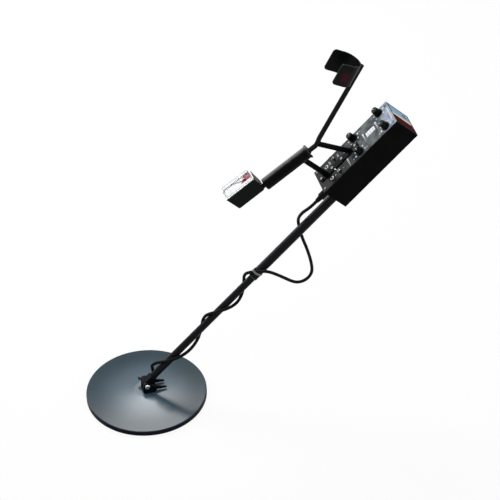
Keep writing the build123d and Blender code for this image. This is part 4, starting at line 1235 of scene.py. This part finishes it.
def makePanelPrint(settings):
    bm = bmesh.new()
    depth = settings["printDepth"]
    level = settings["top"] + settings["printLift"]
    for along, across, _ in settings["knobs"].values():
        addScale(bm, settings, along, across, level)
    for words, along, across in settings["labels"]:
        addText(bm, words, settings["labelSize"], shaft.page(along, across, level))
    for along, across in settings["rings"]:
        addDisc(bm, settings["ringSize"], depth, shaft.place(along, across, level))
    smallest, largest = settings["wedgeSize"]
    last = settings["wedgeSquares"] - 1
    for along, across in settings["wedges"]:
        for step in range(settings["wedgeSquares"]):
            size = smallest + (largest - smallest) * step / last
            side = across + settings["wedgeGap"] * (step - last / 2)
            addBlock(bm, (size, size, depth), shaft.place(along, side, level))
    for along, across in settings["marks"]:
        addBlock(bm, (*settings["mark"], depth), shaft.place(along, across, level))
    finishPiece(bm, "panelPrint", printWhite, "frame")


def makePanelLabel(settings):
    along, across = settings["plate"]
    length, width, height = settings["plateSize"]
    bm = bmesh.new()
    place = shaft.place(along, across, settings["top"] + height / 2)
    addBlock(bm, (length, width, height), place, settings["plateEdge"])
    finishPiece(bm, "panelLabel", printWhite, "frame")
    bm = bmesh.new()
    shares = settings["barShares"]
    for row, share in enumerate(shares):
        spot = along + settings["barPitch"] * (row - len(shares) // 2)
        place = shaft.place(spot, across, settings["top"] + settings["barLift"])
        addBlock(bm, (settings["barWidth"], width * share, settings["printDepth"]), place)
    finishPiece(bm, "panelLabelBars", printPale, "frame")


def makePointers(settings):
    for name, (along, across, pointed) in settings["knobs"].items():
        bm = bmesh.new()
        place = shaft.place(along, across, settings["knobTop"]) @ turnAbout(pointed)
        place = place @ moved(settings["pointerReach"])
        addBlock(bm, settings["pointer"], place, settings["pointerEdge"])
        finishPiece(bm, "pointer_" + name, printWhite, name)


makePanelPrint(panelSet)
makePanelLabel(panelSet)
makePointers(panelSet)
print("panel printed")

meterSet = {
    "pivot": -80.8,
    "face": 48.4,
    "printLift": 0.06,
    "ticks": 11,
    "sweep": 38.0,
    "tick": (3.4, 0.5, 0.08),
    "tickRadius": 45.0,
    "figureEvery": 2,
    "figureRadius": 51.0,
    "figureSize": 4.0,
}


def makeMeterPrint(settings):
    bm = bmesh.new()
    pivot, radius = settings["pivot"], settings["figureRadius"]
    level = settings["face"] + settings["printLift"]
    last = settings["ticks"] - 1
    for step in range(settings["ticks"]):
        turned = 2 * quarterTurn + settings["sweep"] * (0.5 - step / last)
        place = grip.place(pivot, 0, level) @ turnAbout(turned)
        addBlock(bm, settings["tick"], place @ moved(settings["tickRadius"]))
        if step % settings["figureEvery"] == 0 and 0 < step < last:
            turn = math.radians(turned)
            place = grip.page(pivot + radius * math.cos(turn), radius * math.sin(turn), level)
            addText(bm, str(last - step), settings["figureSize"], place)
    finishPiece(bm, "dialPrint", printPale, "frame")


makeMeterPrint(meterSet)
print("dial printed")

screwSet = {
    "panelSpots": [(along, across) for along in (698.1, 929.9) for across in (32.65, -32.65)],
    "panelTop": 63.8,
    "panelTurn": 40.0,
    "strapSpots": [(along, 0.0) for along in (703.0, 740.0, 772.0, 818.0)],
    "strapTop": 67.6,
    "strapTurn": 0.0,
    "arm": (3.6, 0.7, 0.12),
}


def makeScrewShadeCrosses(settings):
    # dark crosses on the screw heads: painted shade standing in for the cross recesses
    bm = bmesh.new()
    for group in ("panel", "strap"):
        for along, across in settings[group + "Spots"]:
            # each screw stands at another angle
            turn = settings[group + "Turn"] + along
            for quarter in (0, quarterTurn):
                place = shaft.place(along, across, settings[group + "Top"])
                addBlock(bm, settings["arm"], place @ turnAbout(turn + quarter))
    finishPiece(bm, "screwShadeCrosses", printDark, "frame")


makeScrewShadeCrosses(screwSet)
print("screw recesses made")
